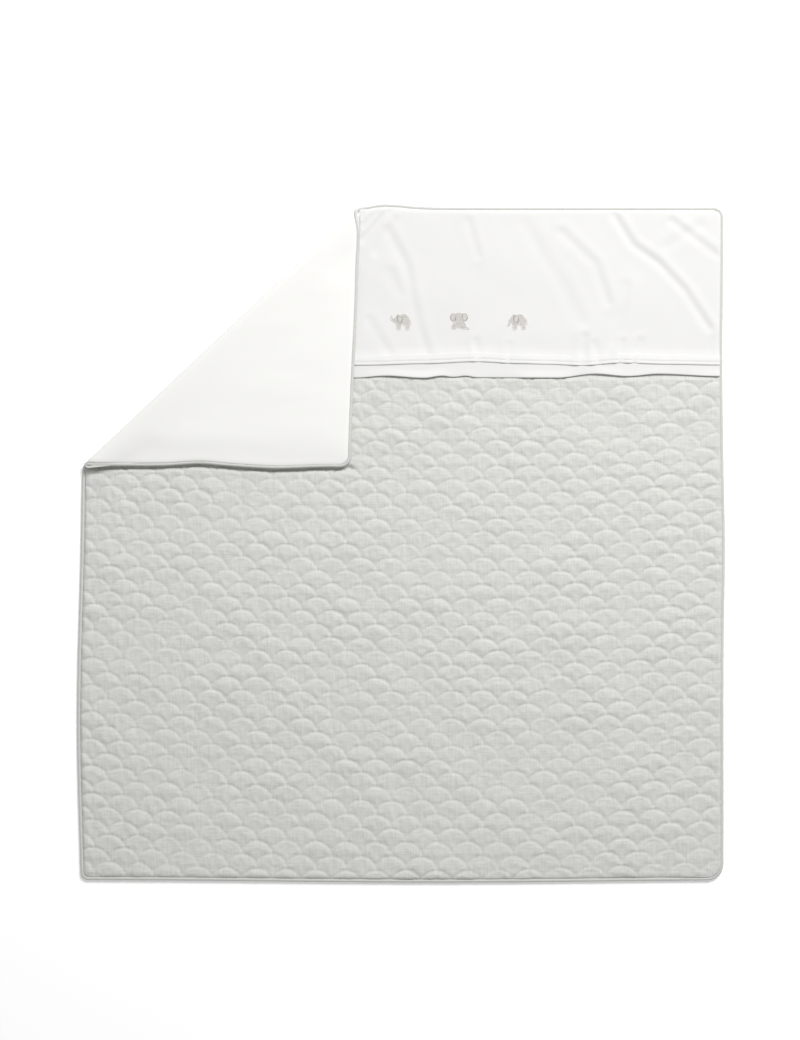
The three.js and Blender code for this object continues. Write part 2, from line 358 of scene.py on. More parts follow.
@dataclass(frozen=True)
class Clamshells:
    """Rows of quilted scallops, each row half a scallop across from the one below.

    Attributes:
        pitch: width of a scallop in the middle of the quilt.
        rise: height of a row.
        axis_x: the middle of one scallop.
        base_y: the foot of that scallop's row.
        spread: how the scallops widen towards the right.
        squeeze: how the rows close up towards the head.
        sag: how the rows bend up towards the sides.
        wander: how far whole stretches of the sewing stray.
        waver: how far each scallop strays by itself.
        arc_steps: straight steps that stand for an arc when a distance is measured.
        line_points: points along an arc that is sewn.
        read_rounds: how often a place in the pattern is made more exact.
    """

    pitch: float = 44.7 * MM
    rise: float = 19.7 * MM
    axis_x: float = -17.6 * MM
    base_y: float = -121 * MM
    spread: float = 0.0577
    squeeze: float = 0.0455
    sag: float = 0.054
    wander: float = 1.6 * MM
    waver: float = 1.1 * MM
    arc_steps: int = 20
    line_points: int = 25
    read_rounds: int = 6

    def place(self, across: np.ndarray, up: np.ndarray) -> tuple[np.ndarray, np.ndarray]:
        """Return where a place in the pattern lies, counted in scallops and rows.

        Args:
            across: places across, in scallops.
            up: places up, in rows.

        Returns:
            X and Y of each place.
        """
        flat_x, flat_y = across * self.pitch, up * self.rise
        x = self.axis_x + flat_x + self.spread * flat_x**2
        wander = self.wander * SoftNoise(5, 0.13, 0.09).at(x, flat_y)
        wander += self.waver * SoftNoise(6, 0.034, 0.028).at(x, flat_y)
        y = self.base_y + flat_y - self.squeeze * flat_y**2 + self.sag * x**2 + wander
        x = x + self.waver * SoftNoise(7, 0.034, 0.034).at(x, flat_y)
        return x, y

    def read(self, x: np.ndarray, y: np.ndarray) -> tuple[np.ndarray, np.ndarray]:
        """Return the place in the pattern, in scallops and rows, of each point.

        Args:
            x: places along X.
            y: places along Y.

        Returns:
            Scallops across and rows up.
        """
        across = (x - self.axis_x) / self.pitch
        up = (y - self.base_y) / self.rise
        for _ in range(self.read_rounds):
            px, py = self.place(across, up)
            across = across + (x - px) / self.pitch
            up = up + (y - py) / self.rise
        return across, up

    def distance(self, x: np.ndarray, y: np.ndarray) -> tuple[np.ndarray, np.ndarray]:
        """Return how far each point is from the nearest stitch line.

        Args:
            x: places along X.
            y: places along Y.

        Returns:
            The distance, and how far below the arc over it each point is, from 0 just
            under the arc to 1 at the foot of the scallop.
        """
        across, up = self.read(x, y)
        row = np.floor(up)
        nearest = np.full(x.shape, np.inf)
        angles = np.linspace(0, math.pi, self.arc_steps + 1)
        arc_x, arc_y = np.cos(angles) / 2 * self.pitch, np.sin(angles) * self.rise
        for base in (row - 1, row):
            shift = np.mod(base, 2) * 0.5
            middle = np.round(across - shift) + shift
            for side in (-1, 0, 1):
                px = (across - middle - side) * self.pitch
                py = (up - base) * self.rise
                for i in range(self.arc_steps):
                    lx, ly = arc_x[i + 1] - arc_x[i], arc_y[i + 1] - arc_y[i]
                    dx, dy = px - arc_x[i], py - arc_y[i]
                    share = np.clip((dx * lx + dy * ly) / (lx * lx + ly * ly), 0, 1)
                    dx, dy = dx - share * lx, dy - share * ly
                    np.minimum(nearest, dx * dx + dy * dy, out=nearest)
        under_arc = []
        for base in (row, row + 1):
            shift = np.mod(base, 2) * 0.5
            t = 2 * (across - shift - np.round(across - shift))
            under_arc.append(np.sqrt(np.clip(1 - t * t, 0, 1)) - (up - base))
        below = np.where(under_arc[0] > 0, under_arc[0], under_arc[1])
        return np.sqrt(nearest), below / 2

    def arcs(self, low: Vector, high: Vector) -> list[np.ndarray]:
        """Return the stitch lines that may cross a box, as lists of flat points.

        Args:
            low: the box's low corner.
            high: its high corner.

        Returns:
            One list of points for each arc.
        """
        corner_x = np.array([low[0], high[0], low[0], high[0]])
        corner_y = np.array([low[1], low[1], high[1], high[1]])
        across, up = self.read(corner_x, corner_y)
        lines = []
        angles = np.linspace(math.pi, 0, self.line_points)
        for base in range(math.floor(up.min()) - 1, math.ceil(up.max()) + 1):
            shift = (base % 2) * 0.5
            for index in range(math.floor(across.min()) - 1, math.ceil(across.max()) + 2):
                x, y = self.place(index + shift + np.cos(angles) / 2, base + np.sin(angles))
                lines.append(np.stack([x, y], axis=-1))
        return lines


@dataclass(frozen=True)
class Crease:
    """A soft valley in a cloth, along given points, in metres.

    Attributes:
        points: the valley's line.
        depth: its depth.
        width: its width.
        ridge_place: how far beside the line the ridge lies, in widths.
        ridge: the ridge's height, as a share of the depth.
        lean: how much higher it is on one side than in the mean.
    """

    points: tuple[tuple[float, float], ...]
    depth: float
    width: float
    ridge_place: float = 1.3
    ridge: float = 0.55
    lean: float = 0.35

    def height(self, x: np.ndarray, y: np.ndarray) -> np.ndarray:
        """Return the height it adds: a valley with a low ridge beside it.

        Args:
            x: places along X.
            y: places along Y.

        Returns:
            The height at each place.
        """
        nearest = np.full(x.shape, np.inf)
        sided = np.zeros(x.shape)
        for (ax, ay), (bx, by) in zip(self.points[:-1], self.points[1:]):
            lx, ly = bx - ax, by - ay
            length = math.hypot(lx, ly)
            t = np.clip(((x - ax) * lx + (y - ay) * ly) / length**2, 0, 1)
            dx, dy = x - ax - t * lx, y - ay - t * ly
            gap = np.hypot(dx, dy)
            side = (lx * dy - ly * dx) / length
            sided = np.where(gap < nearest, side, sided)
            nearest = np.minimum(nearest, gap)
        valley = -np.exp(-((nearest / self.width) ** 2))
        beside = nearest - self.ridge_place * self.width
        ridge = np.exp(-((beside / self.width) ** 2))
        share = self.ridge + self.lean * np.tanh(sided / self.width)
        return self.depth * (valley + share * ridge)


# ---- the quilt's own sizes


@dataclass(frozen=True)
class QuiltPlan:
    """Sizes and places shared by every piece, in metres, worked out from the frame."""

    outline: Outline
    fold: Fold
    hem_y: float
    trim_y: float
    tuck_y: float
    cloth_inset: float
    piping_radius: float
    piping_height: float
    clamshells: Clamshells = field(default_factory=Clamshells)
    face_height: float = 7.5 * MM
    base_height: float = 0.9 * MM
    corner_base_height: float = 2.0 * MM
    face_edge_height: float = 4.7 * MM
    taut_edge_height: float = 6.3 * MM
    taut_start: float = 0.8
    taut_ease: float = 0.12
    edge_roll: float = 8 * MM
    crease_reach: float = 16 * MM
    crease_gap: float = 0.6 * MM
    draw_back: float = 50 * MM
    fold_hold: float = 26 * MM
    side_droop: float = 6.2 * MM
    head_droop: float = 4.2 * MM
    middle_droop: float = 3.0 * MM
    middle_reach: float = 75 * MM
    droop_reach: float = 75 * MM
    free_reach: float = 40 * MM
    droop_thinning: float = 0.46
    tip_reach: float = 12 * MM
    edge_points: int = 90
    press_depth: float = 5.6 * MM
    press_reach: float = 3.7 * MM
    press_set: float = 1.2 * MM
    press_end_x: float = -0.078
    press_ease: float = 20 * MM
    press_under: float = 0.2
    pulls: tuple[Pull, ...] = (
        Pull(-0.475, -0.26, 0.16, 0.22, -0.0075, 0.0),
        Pull(0.475, -0.01, 0.10, 0.10, 0.0022, 0.0),
        Pull(0.475, 0.27, 0.10, 0.12, -0.0015, 0.0),
        Pull(0.05, -0.498, 0.34, 0.10, 0.0, -0.0042),
        Pull(-0.02, 0.498, 0.035, 0.05, 0.0, 0.0035),
        Pull(-0.475, 0.282, 0.06, 0.036, 0.0038, 0.0),
        Pull(-0.475, 0.393, 0.06, 0.045, -0.0030, 0.0),
        Pull(-0.115, 0.498, 0.035, 0.05, 0.0, 0.0018),
        Pull(-0.190, 0.498, 0.150, 0.06, 0.0, 0.0042),
    )

    @classmethod
    def from_frame(cls) -> "QuiltPlan":
        """Read the plan from the frame's boxes and its hinge.

        Returns:
            The plan.
        """
        hinge = next(j for j in frame["joints"] if j["name"] == "corner_fold")
        along = -np.array(hinge["axis"][:2], float)
        along /= np.hypot(*along)
        fold = Fold(
            start=np.array(hinge["pos_m"][:2], float),
            along=along,
            outward=np.array([-along[1], along[0]]),
            radius=float(hinge["pos_m"][2]),
        )
        piping_low, piping_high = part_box("piping_cover_right")
        foot_low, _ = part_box("piping_cover_foot")
        _, cover_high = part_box("quilted_cover")
        seam_lap = 1.0 * MM
        return cls(
            outline=Outline(piping_high[0], -foot_low[1]),
            fold=fold,
            hem_y=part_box("panel_hem")[0][1],
            trim_y=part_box("trim_band")[0][1],
            tuck_y=cover_high[1],
            cloth_inset=piping_high[0] - cover_high[0] - seam_lap,
            piping_radius=(piping_high[2] - piping_low[2]) / 2,
            piping_height=(piping_high[2] + piping_low[2]) / 2,
        )

    def relax(self, points: np.ndarray) -> np.ndarray:
        """Move flat points as the cloth has been drawn aside, but not on the fold line.

        Args:
            points: flat points.

        Returns:
            The same points, moved.
        """
        x, y = points[..., 0], points[..., 1]
        _, s = self.fold.split(x, y)
        free = smoothstep(np.abs(s) / self.fold_hold)
        moved = points.copy()
        for pull in self.pulls:
            near = ((x - pull.x) / pull.reach_x) ** 2 + ((y - pull.y) / pull.reach_y) ** 2
            weight = np.exp(-near) * free
            moved[..., 0] += pull.move_x * weight
            moved[..., 1] += pull.move_y * weight
        return moved

    def droop(self, x: np.ndarray, y: np.ndarray) -> np.ndarray:
        """Return how far the turned corner sinks below the roll, most at its free edges.

        Args:
            x: places along X.
            y: places along Y.

        Returns:
            The distance that each place sinks.
        """
        _, s = self.fold.split(x, y)
        from_side = (x + self.outline.half_width) / self.droop_reach
        from_head = (self.outline.half_length - y) / self.droop_reach
        side = self.side_droop * (1 - smoothstep(from_side))
        head = self.head_droop * (1 - smoothstep(from_head))
        past_roll = s - self.fold.roll_end
        free = smoothstep(past_roll / self.free_reach)
        middle = self.middle_droop * smoothstep(past_roll / self.middle_reach)
        return (middle**4 + (side**4 + head**4) * free**4) ** 0.25

    def place(self, points: np.ndarray, side: Side) -> np.ndarray:
        """Carry flat points to where they lie, on one side of the fold.

        Args:
            points: flat points.
            side: which side of the fold.

        Returns:
            The same points, in the frame.
        """
        moved = self.relax(points)
        if side is Side.QUILT:
            return moved
        sunk = self.droop(points[..., 0], points[..., 1])
        base = self.corner_base_height
        flatter = 1 - self.droop_thinning * sunk / self.side_droop
        moved[..., 2] = base + (moved[..., 2] - base) * flatter
        turned = self.fold.turn_over(moved)
        turned[..., 2] -= sunk
        return turned

    def carry_round(self, points: np.ndarray) -> np.ndarray:
        """Carry flat points of a piece that goes round the fold to where they lie.

        Args:
            points: flat points.

        Returns:
            The same points, in the frame.
        """
        sunk = self.droop(points[..., 0], points[..., 1])
        wrapped = self.fold.wrap(self.relax(points))
        wrapped[..., 2] -= sunk
        return wrapped

    def base(self, side: Side) -> float:
        """Return the height of the filling's underside on one side of the fold."""
        return self.corner_base_height if side is Side.CORNER else self.base_height

    def edge_share(self, x: np.ndarray, y: np.ndarray) -> np.ndarray:
        """Return 0 at the cloth's edge, rising to 1 where the edge's roundness ends.

        Args:
            x: places along X.
            y: places along Y.

        Returns:
            The share at each place.
        """
        inside = self.outline.distance_in(x, y) - self.cloth_inset
        share = np.clip(inside / self.edge_roll, 0, 1)
        return np.sqrt(np.clip(1 - (1 - share) ** 2, 0, 1))

    def lower_edge(self, x: np.ndarray) -> np.ndarray:
        """Return where the turned corner's lower edge lies at each x.

        Args:
            x: places along X.

        Returns:
            The edge's Y at each of them.
        """
        first_y = self.fold.start[1] + self.tip_reach
        flat_y = np.linspace(first_y, self.outline.half_length, self.edge_points)
        flat_x = np.full_like(flat_y, -self.outline.half_width)
        height = np.full_like(flat_y, self.piping_height)
        laid = self.fold.turn_over(self.relax(np.stack([flat_x, flat_y, height], axis=-1)))
        order = np.argsort(laid[:, 0])
        return np.interp(x, laid[order, 0], laid[order, 1])

    def pressed(self, x: np.ndarray, y: np.ndarray) -> np.ndarray:
        """Return how deep the turned corner's lower edge presses into the cover.

        Args:
            x: places along X.
            y: places along Y.

        Returns:
            The depth at each place.
        """
        past_end = x - self.press_end_x
        above = y - (self.lower_edge(x) - self.press_set)
        gap = np.where(past_end > 0, np.hypot(past_end, above), np.abs(above))
        under = smoothstep(above / self.press_ease) * smoothstep(-past_end / self.press_ease)
        line = np.exp(-((gap / self.press_reach) ** 2))
        return self.press_depth * np.maximum(line, self.press_under * under)

    def lift_to_fold(self, x: np.ndarray, y: np.ndarray, z: np.ndarray) -> np.ndarray:
        """Bring a face up to the hinge line where it meets the fold.

        Args:
            x: places along X.
            y: places along Y.
            z: the face's heights.

        Returns:
            The new heights.
        """
        _, s = self.fold.split(x, y)
        near = smoothstep(1 - np.abs(s) / self.crease_reach)
        return z * (1 - near) + self.fold.radius * near

    def face_level(self, x: np.ndarray, y: np.ndarray) -> np.ndarray:
        """Return the height of the filling under the face cloths.

        Args:
            x: places along X.
            y: places along Y.

        Returns:
            The height at each place.
        """
        taut = np.maximum(x / self.outline.half_width, y / self.outline.half_length)
        taut = smoothstep((taut - self.taut_start) / self.taut_ease)
        edge = self.face_edge_height * (1 - taut) + self.taut_edge_height * taut
        return edge + (self.face_height - edge) * self.edge_share(x, y)

    def span(self, y: np.ndarray, side: Side) -> tuple[np.ndarray, np.ndarray]:
        """Return where a face cloth starts and ends along X at each height y.

        Args:
            y: places along Y.
            side: which side of the fold.

        Returns:
            The left and the right ends' X.
        """
        left = self.outline.side_x(y, -1, self.cloth_inset)
        right = self.outline.side_x(y, 1, self.cloth_inset)
        gap = self.crease_gap / self.fold.along[1]
        crease = self.fold.line_x(y)
        if side is Side.CORNER:
            return left, np.clip(crease - gap, left, right)
        return np.where(y > self.fold.start[1], np.maximum(crease + gap, left), left), right


# ---- meshes


def new_object(name: str, vertices: np.ndarray, faces: Sequence[Sequence[int]]) -> bpy.types.Object:
    """Make a smooth-shaded mesh object at the origin.

    Args:
        name: the piece's name.
        vertices: its points, in metres.
        faces: lists of point numbers.

    Returns:
        The new object, linked to the scene.
    """
    mesh = bpy.data.meshes.new(name)
    mesh.from_pydata(vertices.reshape(-1, 3).tolist(), [], faces)
    mesh.polygons.foreach_set("use_smooth", [True] * len(mesh.polygons))
    mesh.update()
    piece = bpy.data.objects.new(name, mesh)
    bpy.context.scene.collection.objects.link(piece)
    return piece


def grid_faces(rows: int, cols: int, first: int = 0, flip: bool = False) -> list[list[int]]:
    """Return the four-sided faces of a grid of points, row by row.

    Args:
        rows: rows of points.
        cols: points in a row.
        first: the first point's number.
        flip: whether the faces point down.

    Returns:
        Four point numbers for each face.
    """
    index = first + np.arange(rows * cols).reshape(rows, cols)
    quads = np.stack(
        [index[:-1, :-1], index[:-1, 1:], index[1:, 1:], index[1:, :-1]], axis=-1
    ).reshape(-1, 4)
    return (quads[:, ::-1] if flip else quads).tolist()


def rim_of(rows: int, cols: int) -> np.ndarray:
    """Return the point numbers round a grid's edge, anticlockwise.

    Args:
        rows: rows of points.
        cols: points in a row.

    Returns:
        The point numbers.
    """
    index = np.arange(rows * cols).reshape(rows, cols)
    return np.concatenate(
        [index[0, :-1], index[:-1, -1], index[-1, :0:-1], index[:0:-1, 0]]
    )


def pad_object(
    name: str, top: np.ndarray, rings: Sequence[np.ndarray], bottom: np.ndarray
) -> bpy.types.Object:
    """Close a grid of top points with rings under its edge and an underside.

    Args:
        name: the piece's name.
        top: the top surface, as rows and columns of points.
        rings: one point under each edge point for each ring, from the top ring down.
        bottom: the underside's points, or only its edge if the underside is flat.

    Returns:
        The closed piece.
    """
    rows, cols = top.shape[:2]
    rim = rim_of(rows, cols)
    faces = grid_faces(rows, cols)
    vertices = [top.reshape(-1, 3)]
    count, upper = rows * cols, rim
    flat = bottom.ndim == 2
    for level, ring in enumerate([*rings, bottom]):
        last = level == len(rings)
        lower = count + (rim if last and not flat else np.arange(len(rim)))
        quads = [upper, lower, np.roll(lower, -1), np.roll(upper, -1)]
        faces += np.stack(quads, axis=-1).tolist()
        vertices.append(ring.reshape(-1, 3))
        if last:
            faces += [lower[::-1].tolist()] if flat else grid_faces(rows, cols, count, flip=True)
        count += ring.size // 3
        upper = lower
    return new_object(name, np.concatenate(vertices), faces)


def sheet_object(name: str, top: np.ndarray, bottom: np.ndarray) -> bpy.types.Object:
    """Make a thin closed cloth from a grid of top points and one of bottom points.

    Args:
        name: the piece's name.
        top: rows and columns of points.
        bottom: as many points, under them.

    Returns:
        The closed piece.
    """
    rows, cols = top.shape[:2]
    count = rows * cols
    upper = rim_of(rows, cols)
    lower = upper + count
    faces = grid_faces(rows, cols) + grid_faces(rows, cols, count, flip=True)
    faces += np.stack([upper, lower, np.roll(lower, -1), np.roll(upper, -1)], axis=-1).tolist()
    return new_object(name, np.concatenate([top.reshape(-1, 3), bottom.reshape(-1, 3)]), faces)


def dress(piece: bpy.types.Object, material: bpy.types.Material) -> None:
    """Give a piece its material.

    Args:
        piece: the piece.
        material: its material.
    """
    piece.data.materials.clear()
    piece.data.materials.append(material)


# ---- finishes


class Nodes:
    """A short way to add and link nodes in one tree."""

    def __init__(self, tree: bpy.types.NodeTree) -> None:
        """Keep the tree that nodes are added to."""
        self.tree = tree

    def add(self, kind: str, **values: object) -> bpy.types.Node:
        """Add a node and set its properties.

        Args:
            kind: the node's type.
            values: its properties.

        Returns:
            The new node.
        """
        node = self.tree.nodes.new(kind)
        for name, value in values.items():
            setattr(node, name, value)
        return node

    def link(self, output: bpy.types.NodeSocket, target: bpy.types.NodeSocket) -> None:
        """Join two sockets."""
        self.tree.links.new(output, target)

    def math(self, operation: str, *inputs: object) -> bpy.types.NodeSocket:
        """Add a math node whose inputs are numbers or sockets, and return its output.

        Args:
            operation: what it works out.
            inputs: numbers or sockets.

        Returns:
            The result's socket.
        """
        node = self.add("ShaderNodeMath", operation=operation)
        for index, value in enumerate(inputs):
            if isinstance(value, bpy.types.NodeSocket):
                self.link(value, node.inputs[index])
            else:
                node.inputs[index].default_value = value
        return node.outputs[0]


def shader_group(name: str, inputs: dict[str, float], outputs: dict[str, str]) -> bpy.types.NodeTree:
    """Make an empty shader group.

    Args:
        name: the group's name.
        inputs: each number it takes, with its default.
        outputs: each value it gives, with its socket type.

    Returns:
        The new group.
    """
    group = bpy.data.node_groups.new(name, "ShaderNodeTree")
    for label, value in inputs.items():
        socket = group.interface.new_socket(label, in_out="INPUT", socket_type="NodeSocketFloat")
        socket.default_value = value
    for label, kind in outputs.items():
        group.interface.new_socket(label, in_out="OUTPUT", socket_type=kind)
    return group


def weave_group() -> bpy.types.NodeTree:
    """Build the plain weave: crossing yarns, with thick places along them.

    Returns:
        A group that gives the weave's height and which yarn is on top.
    """
    group = shader_group(
        "Plain weave",
        {"Yarns per metre": 2000.0, "Slub": 0.3, "Turn": 0.0},
        {"Height": "NodeSocketFloat", "Weft on top": "NodeSocketFloat", "Slubs": "NodeSocketFloat"},
    )
    nodes = Nodes(group)
    given = nodes.add("NodeGroupInput")
    result = nodes.add("NodeGroupOutput")
    place = nodes.add("ShaderNodeTexCoord")
    turn = nodes.add("ShaderNodeVectorRotate", rotation_type="Z_AXIS")
    nodes.link(place.outputs["Object"], turn.inputs["Vector"])
    nodes.link(given.outputs["Turn"], turn.inputs["Angle"])
    split = nodes.add("ShaderNodeSeparateXYZ")
    nodes.link(turn.outputs["Vector"], split.inputs[0])
    yarns = given.outputs["Yarns per metre"]
    phase_x = nodes.math("MULTIPLY", nodes.math("MULTIPLY", split.outputs["X"], yarns), math.pi)
    phase_y = nodes.math("MULTIPLY", nodes.math("MULTIPLY", split.outputs["Y"], yarns), math.pi)
    wave_x = nodes.math("SINE", phase_x)
    wave_y = nodes.math("SINE", phase_y)
    cross = nodes.math("MULTIPLY", wave_x, wave_y)
    weft = nodes.math("ADD", nodes.math("MULTIPLY", cross, 0.5), 0.5)
    round_x = nodes.math("ABSOLUTE", wave_x)
    round_y = nodes.math("ABSOLUTE", wave_y)
    height = nodes.math("MULTIPLY", nodes.math("ADD", round_x, round_y), 0.5)
    slubs = []
    along, across, deep = 38.0, 720.0, 30.0
    for stretch in ((along, across, deep), (across, along, deep)):
        scale = nodes.add("ShaderNodeVectorMath", operation="MULTIPLY")
        scale.inputs[1].default_value = stretch
        nodes.link(turn.outputs["Vector"], scale.inputs[0])
        noise = nodes.add("ShaderNodeTexNoise")
        noise.inputs["Scale"].default_value = 1.0
        noise.inputs["Detail"].default_value = 2.0
        nodes.link(scale.outputs[0], noise.inputs["Vector"])
        slubs.append(noise.outputs["Fac"])
    slub = nodes.math("ADD", slubs[0], slubs[1])
    slub = nodes.math("SUBTRACT", nodes.math("MULTIPLY", slub, 0.5), 0.5)
    slub = nodes.math("MULTIPLY", slub, given.outputs["Slub"])
    nodes.link(nodes.math("ADD", height, slub), result.inputs["Height"])
    nodes.link(weft, result.inputs["Weft on top"])
    nodes.link(slub, result.inputs["Slubs"])
    return group


def cloud_group() -> bpy.types.NodeTree:
    """Build the broad, faint changes of tone that a washed cloth has.

    Returns:
        A group that gives the tone, as a number round 0.
    """
    group = shader_group("Washed cloth", {"Size": 0.06}, {"Tone": "NodeSocketFloat"})
    nodes = Nodes(group)
    given = nodes.add("NodeGroupInput")
    result = nodes.add("NodeGroupOutput")
    place = nodes.add("ShaderNodeTexCoord")
    noise = nodes.add("ShaderNodeTexNoise")
    noise.inputs["Detail"].default_value = 4.0
    nodes.link(place.outputs["Object"], noise.inputs["Vector"])
    nodes.link(nodes.math("DIVIDE", 1.0, given.outputs["Size"]), noise.inputs["Scale"])
    nodes.link(nodes.math("SUBTRACT", noise.outputs["Fac"], 0.5), result.inputs["Tone"])
    return group


@dataclass(frozen=True)
class Cloth:
    """A woven cotton.

    Attributes:
        name: the material's name.
        weft: colour of the yarns across.
        warp: colour of the yarns along.
        yarns: yarns in a metre.
        slub: how uneven the yarns are.
        tone: how much the tone wanders over the cloth.
        slub_tone: how much the uneven yarns show as lighter and darker streaks.
        turn: angle of the weave to the quilt, in radians.
        sheen: strength of the fibres' soft edge light.
        relief: depth of the weave, in metres.
    """

    name: str
    weft: tuple[float, float, float]
    warp: tuple[float, float, float]
    yarns: float = 2200.0
    slub: float = 0.6
    tone: float = 0.05
    slub_tone: float = 0.25
    turn: float = 0.0
    sheen: float = 0.15
    relief: float = 0.00012

    def build(self, weave: bpy.types.NodeTree, clouds: bpy.types.NodeTree) -> bpy.types.Material:
        """Make the material.

        Args:
            weave: the plain weave group.
            clouds: the washed cloth group.

        Returns:
            The new material.
        """
        material = bpy.data.materials.new(self.name)
        material.use_nodes = True
        nodes = Nodes(material.node_tree)
        shader = material.node_tree.nodes["Principled BSDF"]
        shader.inputs["Roughness"].default_value = 0.92
        shader.inputs["Specular IOR Level"].default_value = 0.25
        shader.inputs["Sheen Weight"].default_value = self.sheen
        shader.inputs["Sheen Roughness"].default_value = 0.5
        yarn = nodes.add("ShaderNodeGroup", node_tree=weave)
        yarn.inputs["Yarns per metre"].default_value = self.yarns
        yarn.inputs["Slub"].default_value = self.slub
        yarn.inputs["Turn"].default_value = self.turn
        wash = nodes.add("ShaderNodeGroup", node_tree=clouds)
        mix = nodes.add("ShaderNodeMix", data_type="RGBA")
        mix.inputs["A"].default_value = (*self.warp, 1)
        mix.inputs["B"].default_value = (*self.weft, 1)
        nodes.link(yarn.outputs["Weft on top"], mix.inputs["Factor"])
        shade = nodes.math("MULTIPLY", yarn.outputs["Slubs"], self.slub_tone)
        cloud = nodes.math("MULTIPLY", wash.outputs["Tone"], self.tone)
        value = nodes.math("ADD", nodes.math("ADD", shade, cloud), 1.0)
        hue = nodes.add("ShaderNodeHueSaturation")
        nodes.link(mix.outputs["Result"], hue.inputs["Color"])
        nodes.link(value, hue.inputs["Value"])
        nodes.link(hue.outputs["Color"], shader.inputs["Base Color"])
        bump = nodes.add("ShaderNodeBump")
        bump.inputs["Strength"].default_value = 0.5
        bump.inputs["Distance"].default_value = self.relief
        nodes.link(yarn.outputs["Height"], bump.inputs["Height"])
        nodes.link(bump.outputs["Normal"], shader.inputs["Normal"])
        return material


@dataclass(frozen=True)
class Thread:
    """A twisted thread: its plies show as slanting bands.

    Attributes:
        name: the material's name.
        colour: its colour.
        roughness: how matt it is.
        sheen: strength of the fibres' soft edge light.
        plies: bands in a metre.
        relief: how high the bands stand, in metres.
        tone: how much the tone wanders along the thread.
        tone_size: the size of a lighter or darker place, in metres.
    """

    name: str
    colour: tuple[float, float, float]
    roughness: float = 0.6
    sheen: float = 0.2
    plies: float = 2600.0
    relief: float = 0.0001
    tone: float = 0.35
    tone_size: float = 4 * MM

    def build(self, clouds: bpy.types.NodeTree) -> bpy.types.Material:
        """Make the material from the washed cloth group.

        Args:
            clouds: the washed cloth group.

        Returns:
            The new material.
        """
        material = bpy.data.materials.new(self.name)
        material.use_nodes = True
        nodes = Nodes(material.node_tree)
        shader = material.node_tree.nodes["Principled BSDF"]
        shader.inputs["Roughness"].default_value = self.roughness
        shader.inputs["Sheen Weight"].default_value = self.sheen
        wash = nodes.add("ShaderNodeGroup", node_tree=clouds)
        wash.inputs["Size"].default_value = self.tone_size
        place = nodes.add("ShaderNodeTexCoord")
        split = nodes.add("ShaderNodeSeparateXYZ")
        nodes.link(place.outputs["Object"], split.inputs[0])
        slant = nodes.math("ADD", split.outputs["X"], split.outputs["Y"])
        ply = nodes.math("SINE", nodes.math("MULTIPLY", slant, self.plies * math.pi))
        hue = nodes.add("ShaderNodeHueSaturation")
        hue.inputs["Color"].default_value = (*self.colour, 1)
        value = nodes.math("ADD", nodes.math("MULTIPLY", wash.outputs["Tone"], self.tone), 1.0)
        nodes.link(value, hue.inputs["Value"])
        nodes.link(hue.outputs["Color"], shader.inputs["Base Color"])
        bump = nodes.add("ShaderNodeBump")
        bump.inputs["Strength"].default_value = 0.4
        bump.inputs["Distance"].default_value = self.relief
        nodes.link(ply, bump.inputs["Height"])
        nodes.link(bump.outputs["Normal"], shader.inputs["Normal"])
        return material


class Finishes:
    """Every material of the quilt, made once."""

    def __init__(self) -> None:
        """Build the shared groups and the materials."""
        weave, clouds = weave_group(), cloud_group()
        self.chambray = Cloth(
            "grey chambray", weft=(0.705, 0.705, 0.667), warp=(0.556, 0.566, 0.538), slub_tone=0.9
        ).build(weave, clouds)
        self.white = Cloth(
            "white cotton", weft=(0.752, 0.748, 0.735), warp=(0.742, 0.738, 0.725), tone=0.02,
            slub_tone=0.04,
        ).build(weave, clouds)
        self.backing = Cloth(
            "backing cotton", weft=(0.84, 0.835, 0.815), warp=(0.83, 0.825, 0.805), yarns=2600.0,
            tone=0.015, slub_tone=0.02, relief=0.00008,
        ).build(weave, clouds)
        # The piping is the same grey chambray as the cover; its colours are painted darker to stand
        # in for the shade that falls on the thin corded edge.
        self.piping = Cloth(
            "piping chambray", weft=(0.655, 0.655, 0.622), warp=(0.525, 0.53, 0.505),
            turn=math.pi / 4, slub_tone=0.4,
        ).build(weave, clouds)
        self.cord = Thread("cotton cord", (0.80, 0.78, 0.72), roughness=0.9).build(clouds)
        self.sewing = Thread("sewing thread", (0.54, 0.54, 0.52)).build(clouds)
        self.quilting = Thread("quilting thread", (0.74, 0.745, 0.72), roughness=0.8).build(clouds)
        self.pale = Thread("pale embroidery", (0.93, 0.905, 0.865), sheen=0.3).build(clouds)
        self.dark = Thread("dark embroidery", (0.34, 0.315, 0.285), sheen=0.3).build(clouds)


# ---- stitches


@dataclass(frozen=True)
class StitchKind:
    """A line of stitches.

    Attributes:
        pitch: distance from one stitch to the next.
        length: length of a stitch.
        width: its width.
        across: whether each stitch lies across the line, as in satin stitch.
    """

    pitch: float
    length: float
    width: float
    across: bool = False


